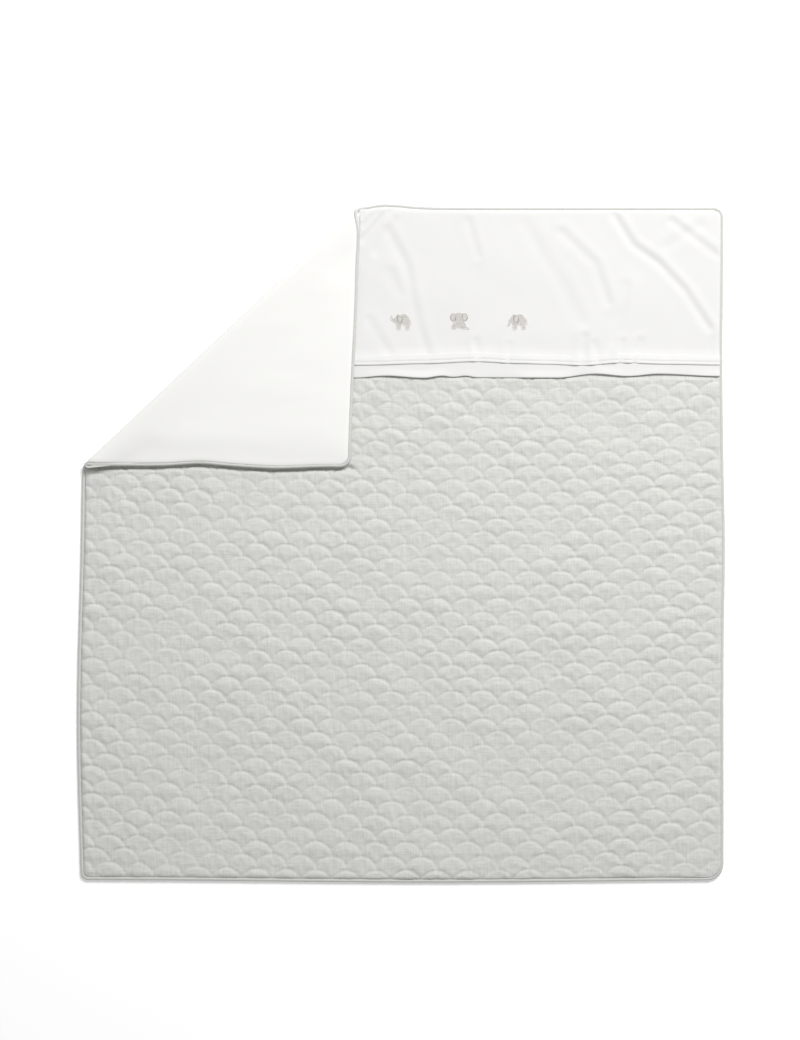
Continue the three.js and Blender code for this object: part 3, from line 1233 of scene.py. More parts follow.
class StitchMaker:
    """Lays stitches along lines with one node tree that each piece sets for itself."""

    def __init__(self) -> None:
        """Build the tree."""
        self.tree = self._build()

    def _build(self) -> bpy.types.NodeTree:
        """Make the tree: lines in, one small rounded stitch at each step out.

        Returns:
            The tree.
        """
        tree = bpy.data.node_groups.new("Stitches along lines", "GeometryNodeTree")
        tree.interface.new_socket("Lines", in_out="INPUT", socket_type="NodeSocketGeometry")
        for label in ("Pitch", "Length", "Width"):
            tree.interface.new_socket(label, in_out="INPUT", socket_type="NodeSocketFloat")
        tree.interface.new_socket("Across", in_out="INPUT", socket_type="NodeSocketBool")
        tree.interface.new_socket("Thread", in_out="INPUT", socket_type="NodeSocketMaterial")
        tree.interface.new_socket("Stitches", in_out="OUTPUT", socket_type="NodeSocketGeometry")
        nodes = Nodes(tree)
        given = nodes.add("NodeGroupInput")
        result = nodes.add("NodeGroupOutput")
        curve = nodes.add("GeometryNodeMeshToCurve")
        nodes.link(given.outputs["Lines"], curve.inputs["Mesh"])
        steps = nodes.add("GeometryNodeResampleCurve", mode="LENGTH")
        nodes.link(curve.outputs["Curve"], steps.inputs["Curve"])
        nodes.link(given.outputs["Pitch"], steps.inputs["Length"])
        ball = nodes.add("GeometryNodeMeshUVSphere")
        ball.inputs["Segments"].default_value = 4
        ball.inputs["Rings"].default_value = 3
        ball.inputs["Radius"].default_value = 0.5
        tangent = nodes.add("GeometryNodeInputTangent")
        turned = nodes.add("ShaderNodeVectorRotate", rotation_type="Z_AXIS")
        turned.inputs["Angle"].default_value = math.pi / 2
        nodes.link(tangent.outputs[0], turned.inputs["Vector"])
        choose = nodes.add("GeometryNodeSwitch", input_type="VECTOR")
        nodes.link(given.outputs["Across"], choose.inputs["Switch"])
        nodes.link(tangent.outputs[0], choose.inputs["False"])
        nodes.link(turned.outputs[0], choose.inputs["True"])
        align = nodes.add("FunctionNodeAlignRotationToVector", axis="Z")
        nodes.link(choose.outputs[0], align.inputs["Vector"])
        size = nodes.add("ShaderNodeCombineXYZ")
        nodes.link(given.outputs["Width"], size.inputs["X"])
        nodes.link(given.outputs["Width"], size.inputs["Y"])
        nodes.link(given.outputs["Length"], size.inputs["Z"])
        copies = nodes.add("GeometryNodeInstanceOnPoints")
        nodes.link(steps.outputs["Curve"], copies.inputs["Points"])
        nodes.link(ball.outputs["Mesh"], copies.inputs["Instance"])
        nodes.link(align.outputs[0], copies.inputs["Rotation"])
        nodes.link(size.outputs[0], copies.inputs["Scale"])
        real = nodes.add("GeometryNodeRealizeInstances")
        nodes.link(copies.outputs["Instances"], real.inputs["Geometry"])
        paint = nodes.add("GeometryNodeSetMaterial")
        nodes.link(real.outputs["Geometry"], paint.inputs["Geometry"])
        nodes.link(given.outputs["Thread"], paint.inputs["Material"])
        nodes.link(paint.outputs["Geometry"], result.inputs["Stitches"])
        return tree

    def sew(
        self,
        name: str,
        lines: Sequence[np.ndarray],
        kind: StitchKind,
        thread: bpy.types.Material,
    ) -> bpy.types.Object:
        """Sew stitches along lines.

        Args:
            name: the new piece's name.
            lines: each line's points, in metres.
            kind: the stitches' sizes.
            thread: their material.

        Returns:
            One plain mesh that holds every stitch.
        """
        vertices = np.concatenate(lines)
        edges, first = [], 0
        for line in lines:
            edges += [(first + i, first + i + 1) for i in range(len(line) - 1)]
            first += len(line)
        guide = bpy.data.meshes.new(name + "_line")
        guide.from_pydata(vertices.tolist(), edges, [])
        source = bpy.data.objects.new(name + "_line", guide)
        bpy.context.scene.collection.objects.link(source)
        modifier = source.modifiers.new("Stitches", "NODES")
        modifier.node_group = self.tree
        values = {
            "Pitch": kind.pitch,
            "Length": kind.length,
            "Width": kind.width,
            "Across": kind.across,
            "Thread": thread,
        }
        for item in self.tree.interface.items_tree:
            if item.item_type == "SOCKET" and item.name in values and item.in_out == "INPUT":
                modifier[item.identifier] = values[item.name]
        depsgraph = bpy.context.evaluated_depsgraph_get()
        mesh = bpy.data.meshes.new_from_object(source.evaluated_get(depsgraph))
        mesh.name = name
        source.modifiers.remove(modifier)
        bpy.data.objects.remove(source)
        piece = bpy.data.objects.new(name, mesh)
        bpy.context.scene.collection.objects.link(piece)
        mesh.polygons.foreach_set("use_smooth", [True] * len(mesh.polygons))
        if not mesh.materials:
            mesh.materials.append(thread)
        return piece


# ---- face cloths


@dataclass(frozen=True)
class Region:
    """A stretch of face cloth on one side of the fold, between two lines across it.

    Attributes:
        plan: the quilt's plan.
        side: which side of the fold.
        low: the lower line, as Y at each x.
        high: the upper line, as Y at each x.
        low_y: the lower line's place without waves.
        high_y: the upper line's place without waves.
    """

    plan: QuiltPlan
    side: Side
    low: Callable[[np.ndarray], np.ndarray]
    high: Callable[[np.ndarray], np.ndarray]
    low_y: float
    high_y: float

    def grid(
        self, step_x: float, step_y: float, fine_reach: float = 0.0, fine_step: float = MM
    ) -> tuple[np.ndarray, np.ndarray]:
        """Return a grid of flat places that fills the region.

        Args:
            step_x: spacing across, at the widest row.
            step_y: spacing along.
            fine_reach: how far from the foot edge the rows are closer together.
            fine_step: their spacing there.

        Returns:
            X and Y of each place, row by row from the foot.
        """
        length = self.high_y - self.low_y
        rows = max(4, math.ceil((length - fine_reach) / step_y))
        share = np.linspace(fine_reach / length, 1, rows + 1)
        if fine_reach > 0:
            fine_rows = math.ceil(fine_reach / fine_step)
            fine = np.linspace(0, fine_reach / length, fine_rows, endpoint=False)
            share = np.concatenate([fine, share])
        nominal = self.low_y + length * share
        left, right = self.plan.span(nominal, self.side)
        cols = max(6, math.ceil((right - left).max() / step_x))
        across = np.linspace(0, 1, cols + 1)
        x = left[:, None] + (right - left)[:, None] * across[None, :]
        low, high = self.low(x), self.high(x)
        y = low + (high - low) * share[:, None]
        return x, y


def keep_behind_fold(plan: QuiltPlan, ring: np.ndarray, reach: float) -> None:
    """Slide flat points of the main quilt along X until they stay behind the fold.

    Args:
        plan: the quilt's plan.
        ring: flat points, changed in place.
        reach: how far behind the fold they have to stay.
    """
    _, s = plan.fold.split(ring[..., 0], ring[..., 1])
    if s.mean() < 0:
        ring[..., 0] += np.clip(s + reach, 0, None) / -plan.fold.outward[0]


def underside(
    plan: QuiltPlan, side: Side, x: np.ndarray, y: np.ndarray, lap: float = 0.0
) -> np.ndarray:
    """Return the flat places of a pad's underside, drawn back from the fold.

    Args:
        plan: the quilt's plan.
        side: which side of the fold the pad is on.
        x: the top grid's places along X.
        y: the top grid's places along Y.
        lap: how far the top laps over beyond the underside's foot edge.

    Returns:
        One point under each point of the top grid.
    """
    up = y - y[:1]
    low = y + lap * np.clip(1 - up / plan.draw_back, 0, 1)
    _, s = plan.fold.split(x, low)
    toward = 1 if side is Side.CORNER else -1
    shift = toward * plan.fold.radius * np.clip(1 - np.abs(s) / plan.draw_back, 0, 1)
    points = np.stack(
        [
            x + shift * plan.fold.outward[0],
            low + shift * plan.fold.outward[1],
            np.full_like(x, plan.base(side)),
        ],
        axis=-1,
    )
    keep_behind_fold(plan, points, plan.fold.radius)
    return points


@dataclass(frozen=True)
class Puffing:
    """A cloth simulation that swells a face cloth between the stitches that hold it.

    Attributes:
        frames: how long it runs.
        pressure: push of the filling.
        growth: share by which the cloth is larger than the place it is sewn into.
        bending: how much the cloth resists sharp folds.
        cap: how far a point may move, in metres.
        share: how much of the movement is kept.
    """

    frames: int = 8
    pressure: float = 2.0
    growth: float = 0.024
    bending: float = 0.4
    cap: float = 1.5 * MM
    share: float = 0.6

    def run(self, points: np.ndarray, held: np.ndarray) -> np.ndarray:
        """Swell a grid of points.

        Args:
            points: the grid, as rows and columns of points.
            held: which points the stitches hold.

        Returns:
            The grid after the simulation, no point further than the cap from its start.
        """
        piece = new_object("simulated_cloth", points, grid_faces(*points.shape[:2]))
        group = piece.vertex_groups.new(name="held")
        group.add([int(i) for i in np.flatnonzero(held.reshape(-1))], 1.0, "REPLACE")
        modifier = piece.modifiers.new("Cloth", "CLOTH")
        settings = modifier.settings
        settings.quality = 4
        settings.mass = 0.15
        settings.air_damping = 2.0
        settings.tension_stiffness = 20.0
        settings.compression_stiffness = 20.0
        settings.shear_stiffness = 8.0
        settings.bending_stiffness = self.bending
        settings.vertex_group_mass = "held"
        settings.shrink_min = -self.growth
        settings.use_pressure = True
        settings.uniform_pressure_force = self.pressure
        settings.effector_weights.gravity = 0.0
        modifier.collision_settings.use_collision = False
        modifier.point_cache.frame_end = self.frames
        scene = bpy.context.scene
        for frame_number in range(1, self.frames + 1):
            scene.frame_set(frame_number)
        depsgraph = bpy.context.evaluated_depsgraph_get()
        swollen = piece.evaluated_get(depsgraph).to_mesh()
        flat = np.empty(len(swollen.vertices) * 3)
        swollen.vertices.foreach_get("co", flat)
        moved = flat.reshape(points.shape) - points
        bpy.data.objects.remove(piece)
        scene.frame_set(1)
        distance = np.linalg.norm(moved, axis=-1, keepdims=True)
        log.info("cloth moved %.2f mm at most", 1000 * float(distance.max()))
        limit = np.minimum(1, self.cap / np.maximum(distance, 1e-9))
        return points + moved * limit * self.share


@dataclass
class QuiltedCover:
    """The grey cover, quilted in clamshells through the filling."""

    plan: QuiltPlan
    finishes: Finishes
    stitches: StitchMaker
    step_x: float = 2.2 * MM
    step_y: float = 2.0 * MM
    puff: float = 1.2 * MM
    dip: float = 1.25 * MM
    overlap: float = 0.7 * MM
    slope_top: float = 1.1 * MM
    slope_foot: float = 1.9 * MM
    crown_reach: float = 9 * MM
    crown_share: float = 0.28
    fullness: float = 0.95
    uneven: float = 0.42
    broad_uneven: float = 0.15
    pucker: float = 0.36 * MM
    pucker_reach: float = 7 * MM
    broad_pucker: float = 0.25 * MM
    trim_sink: float = 2.0 * MM
    trim_lead: float = 4 * MM
    trim_ease: float = 7 * MM
    least_filling: float = 1.5 * MM
    held_reach: float = 1.1 * MM
    seam_reach: float = 1 * MM
    trim_hold: float = 2 * MM
    sewn_margin: float = 1.5 * MM
    sewn_gap: float = 3 * MM
    sewn_under: float = 6 * MM
    thread_lift: float = 0.12 * MM
    corner_start: float = 1 * MM
    thread: StitchKind = StitchKind(3.1 * MM, 2.5 * MM, 0.5 * MM)
    puffing: Puffing = Puffing()

    def height(self, x: np.ndarray, y: np.ndarray) -> np.ndarray:
        """Return the cover's height on the flat quilt: puffs between sunken stitches.

        Args:
            x: places along X.
            y: places along Y.

        Returns:
            The height at each place.
        """
        plan = self.plan
        gap, below = plan.clamshells.distance(x, y)
        foot = smoothstep(below)
        rise = 1 - np.exp(-gap / (self.slope_top + self.slope_foot * foot))
        crown = np.clip(gap / self.crown_reach, 0, 1)
        fullness = self.fullness + self.uneven * SoftNoise(11, 0.042, 0.032).at(x, y)
        fullness += self.broad_uneven * SoftNoise(12, 0.16, 0.13).at(x, y)
        swell = (1 - self.crown_share) * rise + self.crown_share * crown
        puff = -self.dip + (self.puff + self.dip) * swell * fullness
        puff += self.overlap * (0.5 - foot) * rise
        fine = SoftNoise(21, 4.5 * MM, 11 * MM).at(x, y) + SoftNoise(22, 10 * MM, 4 * MM).at(x, y)
        broad = SoftNoise(23, 26 * MM, 26 * MM).at(x, y)
        puckers = self.pucker * fine * np.exp(-gap / self.pucker_reach)
        puckers += self.broad_pucker * broad
        under_trim = smoothstep((y - plan.trim_y + self.trim_lead) / self.trim_ease)
        puff = (puff + puckers) * (1 - under_trim) - self.trim_sink * under_trim
        level = plan.face_level(x, y) + puff * plan.edge_share(x, y)
        _, s = plan.fold.split(x, y)
        level = level - np.where(s < 0, plan.pressed(x, y), 0)
        level = np.maximum(level, plan.base_height + self.least_filling)
        return plan.lift_to_fold(x, y, level)

    def held(self, x: np.ndarray, y: np.ndarray) -> np.ndarray:
        """Return which places the stitches, seams, fold and trim hold still.

        Args:
            x: places along X.
            y: places along Y.

        Returns:
            True where the cloth is held.
        """
        plan = self.plan
        gap, _ = plan.clamshells.distance(x, y)
        _, s = plan.fold.split(x, y)
        inside = plan.outline.distance_in(x, y) - plan.cloth_inset
        still = (gap < self.held_reach) | (inside < self.seam_reach)
        still |= y > plan.trim_y - self.trim_hold
        still |= np.abs(s) < plan.crease_reach
        still[0] = still[-1] = True
        still[:, 0] = still[:, -1] = True
        return still

    def lines(self, side: Side) -> list[np.ndarray]:
        """Return the stitch lines that lie on one side of the fold, cut to the cover.

        Args:
            side: which side of the fold.

        Returns:
            The points of each line, in the frame.
        """
        plan = self.plan
        half_x, half_y = plan.outline.half_width, plan.outline.half_length
        low, high = Vector((-half_x, -half_y)), Vector((half_x, plan.tuck_y))
        margin = plan.cloth_inset + self.sewn_margin
        pieces = []
        for arc in plan.clamshells.arcs(low, high):
            x, y = arc[:, 0], arc[:, 1]
            _, s = plan.fold.split(x, y)
            here = s < -self.sewn_gap if side is Side.QUILT else s > self.sewn_gap
            inside = plan.outline.distance_in(x, y) > margin
            keep = here & inside & (y < plan.trim_y + self.sewn_under)
            z = self.height(x, y) + self.thread_lift
            placed = plan.place(np.stack([x, y, z], axis=-1), side)
            runs = np.split(np.arange(len(keep)), np.where(np.diff(keep.astype(int)))[0] + 1)
            pieces += [placed[run] for run in runs if keep[run[0]] and len(run) > 2]
        return pieces

    def build(self, side: Side, name: str, replaced: Sequence[str]) -> bpy.types.Object:
        """Make the cover on one side of the fold.

        Args:
            side: which side of the fold.
            name: the piece's name.
            replaced: the frame's nodes that it stands for.

        Returns:
            The finished piece.
        """
        plan = self.plan
        foot = -plan.outline.half_length + plan.cloth_inset
        low_y = foot if side is Side.QUILT else plan.fold.start[1] + self.corner_start
        region = Region(
            plan, side, lambda x: np.full_like(x, low_y), lambda x: np.full_like(x, plan.tuck_y),
            low_y, plan.tuck_y,
        )
        x, y = region.grid(self.step_x, self.step_y)
        points = np.stack([x, y, self.height(x, y)], axis=-1)
        points = self.puffing.run(points, self.held(x, y))
        top = plan.place(points, side)
        bottom = plan.place(underside(plan, side, x, y), side)
        if side is Side.QUILT:
            bottom = bottom.reshape(-1, 3)[rim_of(*x.shape)]
        piece = pad_object(name, top, [], bottom)
        dress(piece, self.finishes.chambray)
        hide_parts(*replaced)
        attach(piece, side.value)
        return piece

    def sew(self, side: Side, name: str, parts: int) -> list[bpy.types.Object]:
        """Sew the clamshell stitches, in as many pieces as keep each one small.

        Args:
            side: which side of the fold.
            name: the start of the pieces' names.
            parts: how many pieces.

        Returns:
            The finished pieces.
        """
        lines = self.lines(side)
        made = []
        for index in range(parts):
            share = lines[index::parts]
            piece = self.stitches.sew(
                f"{name}_{index + 1}", share, self.thread, self.finishes.quilting
            )
            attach(piece, side.value)
            made.append(piece)
        return made


@dataclass
class HeadPanel:
    """The white head panel, its hem and the trim band under the hem."""

    plan: QuiltPlan
    finishes: Finishes
    stitches: StitchMaker
    step_x: float = 3.2 * MM
    step_y: float = 3.0 * MM
    fine_reach: float = 14 * MM
    fine_step: float = 0.9 * MM
    strip_step: float = 1.6 * MM
    trim_lift: float = 0.45 * MM
    trim_thickness: float = 0.8 * MM
    trim_curl: float = 2.0 * MM
    trim_show: float = 1.0 * MM
    hem_lift: float = 1.5 * MM
    hem_thickness: float = 0.35 * MM
    hem_set: float = 0.6 * MM
    strip_lap: float = 0.5 * MM
    strip_thin: float = 0.15
    ripple_mean: float = 0.6
    ripple_swing: float = 0.8
    ripple_reach: float = 13 * MM
    lap_lift: float = 2.75 * MM
    lap_reach: float = 26 * MM
    lap_calm: float = 0.75
    lap_thickness: float = 0.5 * MM
    lap_underside: float = 2.2 * MM
    lap_over: float = 1.2 * MM
    lap_turn: float = 0.2 * MM
    fold_clear: float = 1.5 * MM
    edge_turn: float = 0.5 * MM
    edge_turn_reach: float = 1.2 * MM
    topstitch_in: float = 5 * MM
    topstitch_sink: float = 0.5 * MM
    topstitch_width: float = 0.9 * MM
    topstitch_lift: float = 0.15 * MM
    topstitch_gap: float = 3 * MM
    topstitch_clear: float = 0.6
    topstitch_points: int = 240
    hem_thread: StitchKind = StitchKind(2.8 * MM, 2.4 * MM, 0.55 * MM)
    gather: float = 0.35 * MM
    gather_up: float = 6 * MM
    gather_reach: float = 14 * MM
    hem_wave: Wave = Wave(
        (-0.32, -0.056, 0.031, 0.107, 0.172, 0.216, 0.265, 0.323, 0.398, 0.466),
        (0.0, -0.0003, 0.0020, 0.0050, 0.0022, 0.0010, -0.0008, 0.0030, 0.0010, 0.0),
    )
    trim_wave: Wave = Wave(
        (-0.33, -0.071, -0.025, 0.031, 0.058, 0.075, 0.092, 0.110, 0.228, 0.284, 0.333,
         0.379, 0.466),
        (0.0, 0.0, 0.0030, -0.0003, 0.0030, 0.0012, 0.0030, 0.0005, 0.0, 0.0060, 0.0024,
         0.0060, 0.0024),
    )
    motif_places: tuple[float, ...] = (-0.003, 0.083, 0.169)
    motif_y: float = 0.329
    motif_reach: float = 26 * MM
    motif_calm: float = 0.85
    softness: float = 0.7 * MM
    fine_softness: float = 0.22 * MM
    crease_share: float = 1.35
    creases: tuple[Crease, ...] = (
        Crease(((0.312, 0.486), (0.340, 0.442), (0.379, 0.414), (0.416, 0.375), (0.454, 0.319)),
               1.1 * MM, 7 * MM),
        Crease(((0.235, 0.460), (0.284, 0.414), (0.303, 0.357)), 0.7 * MM, 8 * MM),
        Crease(((0.398, 0.477), (0.466, 0.426)), 0.8 * MM, 7 * MM),
        Crease(((-0.022, 0.460), (0.004, 0.414), (0.019, 0.335), (0.036, 0.282)),
               0.7 * MM, 8 * MM),
        Crease(((-0.060, 0.447), (-0.040, 0.470), (-0.020, 0.489)), 1.1 * MM, 6 * MM),
        Crease(((-0.058, 0.468), (-0.038, 0.487)), 0.8 * MM, 5 * MM),
        Crease(((-0.040, 0.430), (-0.012, 0.474)), 0.6 * MM, 7 * MM),
        Crease(((-0.020, 0.400), (-0.004, 0.370)), 0.5 * MM, 10 * MM),
        Crease(((0.330, 0.380), (0.312, 0.300)), 0.6 * MM, 9 * MM),
        Crease(((0.392, 0.440), (0.440, 0.470)), 0.5 * MM, 9 * MM),
        Crease(((0.180, 0.470), (0.236, 0.380), (0.262, 0.330)), 0.45 * MM, 12 * MM),
        Crease(((-0.050, 0.330), (-0.020, 0.280)), 0.5 * MM, 8 * MM),
        Crease(((0.096, 0.477), (0.111, 0.426)), 0.5 * MM, 7 * MM),
        Crease(((0.111, 0.272), (0.108, 0.300)), 0.8 * MM, 6 * MM),
        Crease(((0.155, 0.270), (0.158, 0.294)), 0.6 * MM, 6 * MM),
        Crease(((0.265, 0.266), (0.270, 0.305)), 0.9 * MM, 7 * MM),
        Crease(((0.289, 0.266), (0.284, 0.296)), 0.7 * MM, 6 * MM),
        Crease(((0.321, 0.268), (0.326, 0.298)), 0.8 * MM, 6 * MM),
        Crease(((0.342, 0.266), (0.352, 0.300)), 0.7 * MM, 6 * MM),
    )

    def hem_line(self, x: np.ndarray) -> np.ndarray:
        """Return where the panel's free edge lies at each x."""
        return self.plan.hem_y + self.hem_wave.at(x)

    def panel_height(self, x: np.ndarray, y: np.ndarray) -> np.ndarray:
        """Return the panel's height on the flat quilt.

        Args:
            x: places along X.
            y: places along Y.

        Returns:
            The height at each place.
        """
        plan = self.plan
        soft = self.softness * SoftNoise(31, 0.07, 0.06).at(x, y)
        soft += self.fine_softness * SoftNoise(32, 0.022, 0.026).at(x, y)
        wrinkles = self.crease_share * sum(crease.height(x, y) for crease in self.creases)
        for motif_x in self.motif_places:
            gap = np.hypot(x - motif_x, y - self.motif_y)
            wrinkles = wrinkles * (1 - self.motif_calm * np.exp(-((gap / self.motif_reach) ** 2)))
        up = y - self.hem_line(x)
        lap = smoothstep(1 - up / self.lap_reach)
        soft *= 1 - self.lap_calm * lap
        gather = self.gather * SoftNoise(33, 9 * MM, 40 * MM).at(x, y)
        gather *= np.exp(-(((up - self.gather_up) / self.gather_reach) ** 2))
        from_thread = (up - self.topstitch_in) / self.topstitch_width
        sunk = self.topstitch_sink * np.exp(-(from_thread**2))
        turned = self.edge_turn * np.clip(1 - up / self.edge_turn_reach, 0, 1) ** 2
        edge = plan.edge_share(x, y)
        level = plan.face_level(x, y) + (soft + wrinkles + gather) * edge
        level += lap * self.lap_lift - sunk - turned
        return plan.lift_to_fold(x, y, level)

    def build_panel(self, side: Side, name: str, replaced: Sequence[str]) -> bpy.types.Object:
        """Make the padded panel on one side of the fold, down to its free edge.

        Args:
            side: which side of the fold.
            name: the piece's name.
            replaced: the frame's nodes that it stands for.

        Returns:
            The finished panel.
        """
        plan = self.plan
        head = plan.outline.half_length - plan.cloth_inset
        region = Region(
            plan, side, self.hem_line, lambda x: np.full_like(x, head), plan.hem_y, head
        )
        x, y = region.grid(self.step_x, self.step_y, self.fine_reach, self.fine_step)
        top_flat = np.stack([x, y, self.panel_height(x, y)], axis=-1)
        top = plan.place(top_flat, side)
        rim = rim_of(*x.shape)
        edge = top_flat.reshape(-1, 3)[rim]
        lap = plan.tuck_y + self.lap_over - plan.hem_y
        fold_over = edge.copy()
        fold_over[:, 2] -= self.lap_thickness
        tucked = fold_over.copy()
        at_foot = np.zeros(x.shape, bool)
        at_foot[0] = True
        lapped = at_foot.reshape(-1)[rim]
        tucked[:, 1] = np.where(lapped, edge[:, 1] + lap, tucked[:, 1])
        level = plan.face_level(edge[:, 0], edge[:, 1]) + self.lap_underside
        tucked[:, 2] = np.where(lapped, level, tucked[:, 2] - self.lap_turn)
        keep_behind_fold(plan, tucked, self.fold_clear)
        bottom = plan.place(underside(plan, side, x, y, lap), side)
        if side is Side.QUILT:
            bottom = bottom.reshape(-1, 3)[rim]
        rings = [plan.place(ring, side) for ring in (fold_over, tucked)]
        piece = pad_object(name, top, rings, bottom)
        dress(piece, self.finishes.white)
        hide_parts(*replaced)
        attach(piece, side.value)
        return piece

    def build_strip(
        self,
        side: Side,
        name: str,
        replaced: str,
        low: Callable[[np.ndarray], np.ndarray],
        low_y: float,
        lift: float,
        thickness: float,
        curl: float,
    ) -> bpy.types.Object:
        """Make a thin strip that runs from side to side up to the tuck.

        Args:
            side: which side of the fold.
            name: the piece's name.
            replaced: the frame's node that it stands for.
            low: where its free edge lies at each x.
            low_y: its free edge's place without waves.
            lift: how far its underside lies above the filling.
            thickness: its thickness.
            curl: how far its free edge stands up.

        Returns:
            The finished strip.
        """
        plan = self.plan
        high = plan.tuck_y + self.strip_lap
        region = Region(plan, side, low, lambda x: np.full_like(x, high), low_y, high)
        x, y = region.grid(self.step_x, self.strip_step)
        up = y - low(x)
        from_edge = np.clip(up / (thickness / 2), 0, 1)
        rounding = np.sqrt(np.clip(1 - (1 - from_edge) ** 2, 0, 1))
        swing = self.ripple_swing * SoftNoise(41, 38 * MM, 60 * MM).at(x, y)
        ripple = np.clip(curl * (self.ripple_mean + swing), 0, None)
        ripple *= smoothstep(1 - up / self.ripple_reach)
        middle = plan.face_level(x, y) + lift + thickness / 2 + ripple
        middle = plan.lift_to_fold(x, y, middle)
        half = thickness / 2 * (self.strip_thin + (1 - self.strip_thin) * rounding)
        top = plan.place(np.stack([x, y, middle + half], axis=-1), side)
        bottom = plan.place(np.stack([x, y, middle - half], axis=-1), side)
        piece = sheet_object(name, top, bottom)
        dress(piece, self.finishes.white)
        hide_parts(replaced)
        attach(piece, side.value)
        return piece

    def trim_line(self, x: np.ndarray) -> np.ndarray:
        """Return where the trim band's free edge lies at each x."""
        return self.plan.trim_y - self.trim_show + self.trim_wave.at(x)

    def sew_hem(self, side: Side, name: str, replaced: str) -> bpy.types.Object:
        """Sew the line of stitches that holds the hem.

        Args:
            side: which side of the fold.
            name: the piece's name.
            replaced: the frame's node that it stands for.

        Returns:
            The finished stitches.
        """
        plan = self.plan
        left, right = plan.span(np.array([plan.hem_y + self.topstitch_in]), side)
        at_fold, at_seam = plan.crease_reach * self.topstitch_clear, self.topstitch_gap
        start = left[0] + (at_fold if side is Side.QUILT else at_seam)
        end = right[0] - (at_seam if side is Side.QUILT else at_fold)
        x = np.linspace(start, end, self.topstitch_points)
        y = self.hem_line(x) + self.topstitch_in
        z = self.panel_height(x, y) + self.topstitch_lift
        line = plan.place(np.stack([x, y, z], axis=-1), side)
        piece = self.stitches.sew(name, [line], self.hem_thread, self.finishes.sewing)
        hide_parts(replaced)
        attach(piece, side.value)
        return piece

    def build(self, side: Side) -> list[bpy.types.Object]:
        """Make every piece of the head panel on one side of the fold.

        Args:
            side: which side of the fold.

        Returns:
            The trim band, the hem, the panel and the hem's stitches.
        """
        tag, cover, node = "", "quilted_cover_cloth", "top_panel"
        if side is Side.CORNER:
            tag, cover, node = "corner_", "corner_cover_cloth", "corner_panel"
        trim = self.build_strip(
            side, tag + "trim_band_cloth", tag + "trim_band", self.trim_line,
            self.plan.trim_y, self.trim_lift, self.trim_thickness, self.trim_curl,
        )
        hem = self.build_strip(
            side, tag + "panel_hem_cloth", tag + "panel_hem",
            lambda x: self.hem_line(x) + self.hem_set, self.plan.hem_y, self.hem_lift,
            self.hem_thickness, 0.0,
        )
        panel = self.build_panel(side, tag + "panel_cloth", [node])
        seam = self.sew_hem(side, tag + "hem_stitches", tag + "hem_topstitch")
        return [trim, hem, panel, seam]


# ---- what crosses the fold


@dataclass
class Backing:
    """The plain backing cloth, one sheet from the underside round the fold."""

    plan: QuiltPlan
    finishes: Finishes
    inset: float = 4.2 * MM
    cols: int = 170
    flat_rows: int = 90
    roll_rows: int = 30
    roll_margin: float = 4 * MM
    under_gap: float = 2 * MM
    over_gap: float = 3 * MM
    edge_step: float = 4 * MM
    end_gap: float = 0.2 * MM
    edge_rise: float = 1.5 * MM
    edge_reach: float = 7 * MM
    floor_gap: float = 0.15 * MM
    thickness: float = 0.5 * MM
    swell: float = 0.55 * MM
    broad_swell: float = 0.5 * MM
    fine_swell: float = 0.2 * MM
    most_swell: float = 1.2 * MM
    swell_ease: float = 30 * MM
    blend_low: float = 2.9 * MM
    blend_high: float = 11.2 * MM

    def rows(self, low: float, high: float) -> np.ndarray:
        """Return the distances from the fold at which the rows lie.

        Args:
            low: the first row's distance.
            high: the last row's.

        Returns:
            One distance for each row.
        """
        before = -self.plan.fold.radius - self.roll_margin
        after = self.plan.fold.roll_end + self.roll_margin
        under = np.linspace(low, before - self.under_gap, self.flat_rows)
        roll = np.linspace(before, after, self.roll_rows)
        over = np.linspace(after + self.over_gap, high, self.flat_rows)
        return np.concatenate([under, roll, over])

    def build(self) -> bpy.types.Object:
        """Make the sheet.

        Returns:
            The finished sheet.
        """
        plan, fold = self.plan, self.plan.fold
        edge = plan.outline.walk(self.inset, self.edge_step)
        u, s = fold.split(edge[:, 0], edge[:, 1])
        first, last = int(np.argmin(s)), int(np.argmax(s))
        ring = np.roll(np.arange(len(s)), -first)
        cut = int(np.where(ring == last)[0][0])
        head, side = ring[: cut + 1], np.append(ring[cut:], ring[0])[::-1]
        rows = self.rows(s.min() + self.end_gap, s.max() - self.end_gap)
        head_u = np.interp(rows, s[head], u[head])
        side_u = np.interp(rows, s[side], u[side])
        share = np.linspace(0, 1, self.cols + 1)
        grid_u = side_u[:, None] + (head_u - side_u)[:, None] * share[None, :]
        grid_s = np.repeat(rows[:, None], self.cols + 1, axis=1)
        flat = fold.join(grid_u, grid_s, np.zeros_like(grid_u))
        x, y = flat[..., 0], flat[..., 1]
        inside = plan.outline.distance_in(x, y) - self.inset
        near = np.clip(inside / self.edge_reach, 0, 1)
        lip = self.edge_rise * (1 - np.sqrt(np.clip(1 - (1 - near) ** 2, 0, 1)))
        on_top = smoothstep((grid_s - fold.roll_end) / self.swell_ease)
        soft = self.swell + self.broad_swell * SoftNoise(51, 0.05, 0.09).at(x, y)
        soft += self.fine_swell * SoftNoise(52, 0.018, 0.045).at(x, y)
        flat[..., 2] = self.floor_gap + lip + on_top * np.clip(soft, 0, self.most_swell)
        outer = plan.carry_round(flat)
        flat[..., 2] += self.thickness
        inner = plan.carry_round(flat)
        piece = sheet_object("backing_cloth", inner, outer)
        dress(piece, self.finishes.backing)
        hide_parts("backing", "corner_backing", "fold_roll")
        blend_over_fold(piece)
        return piece


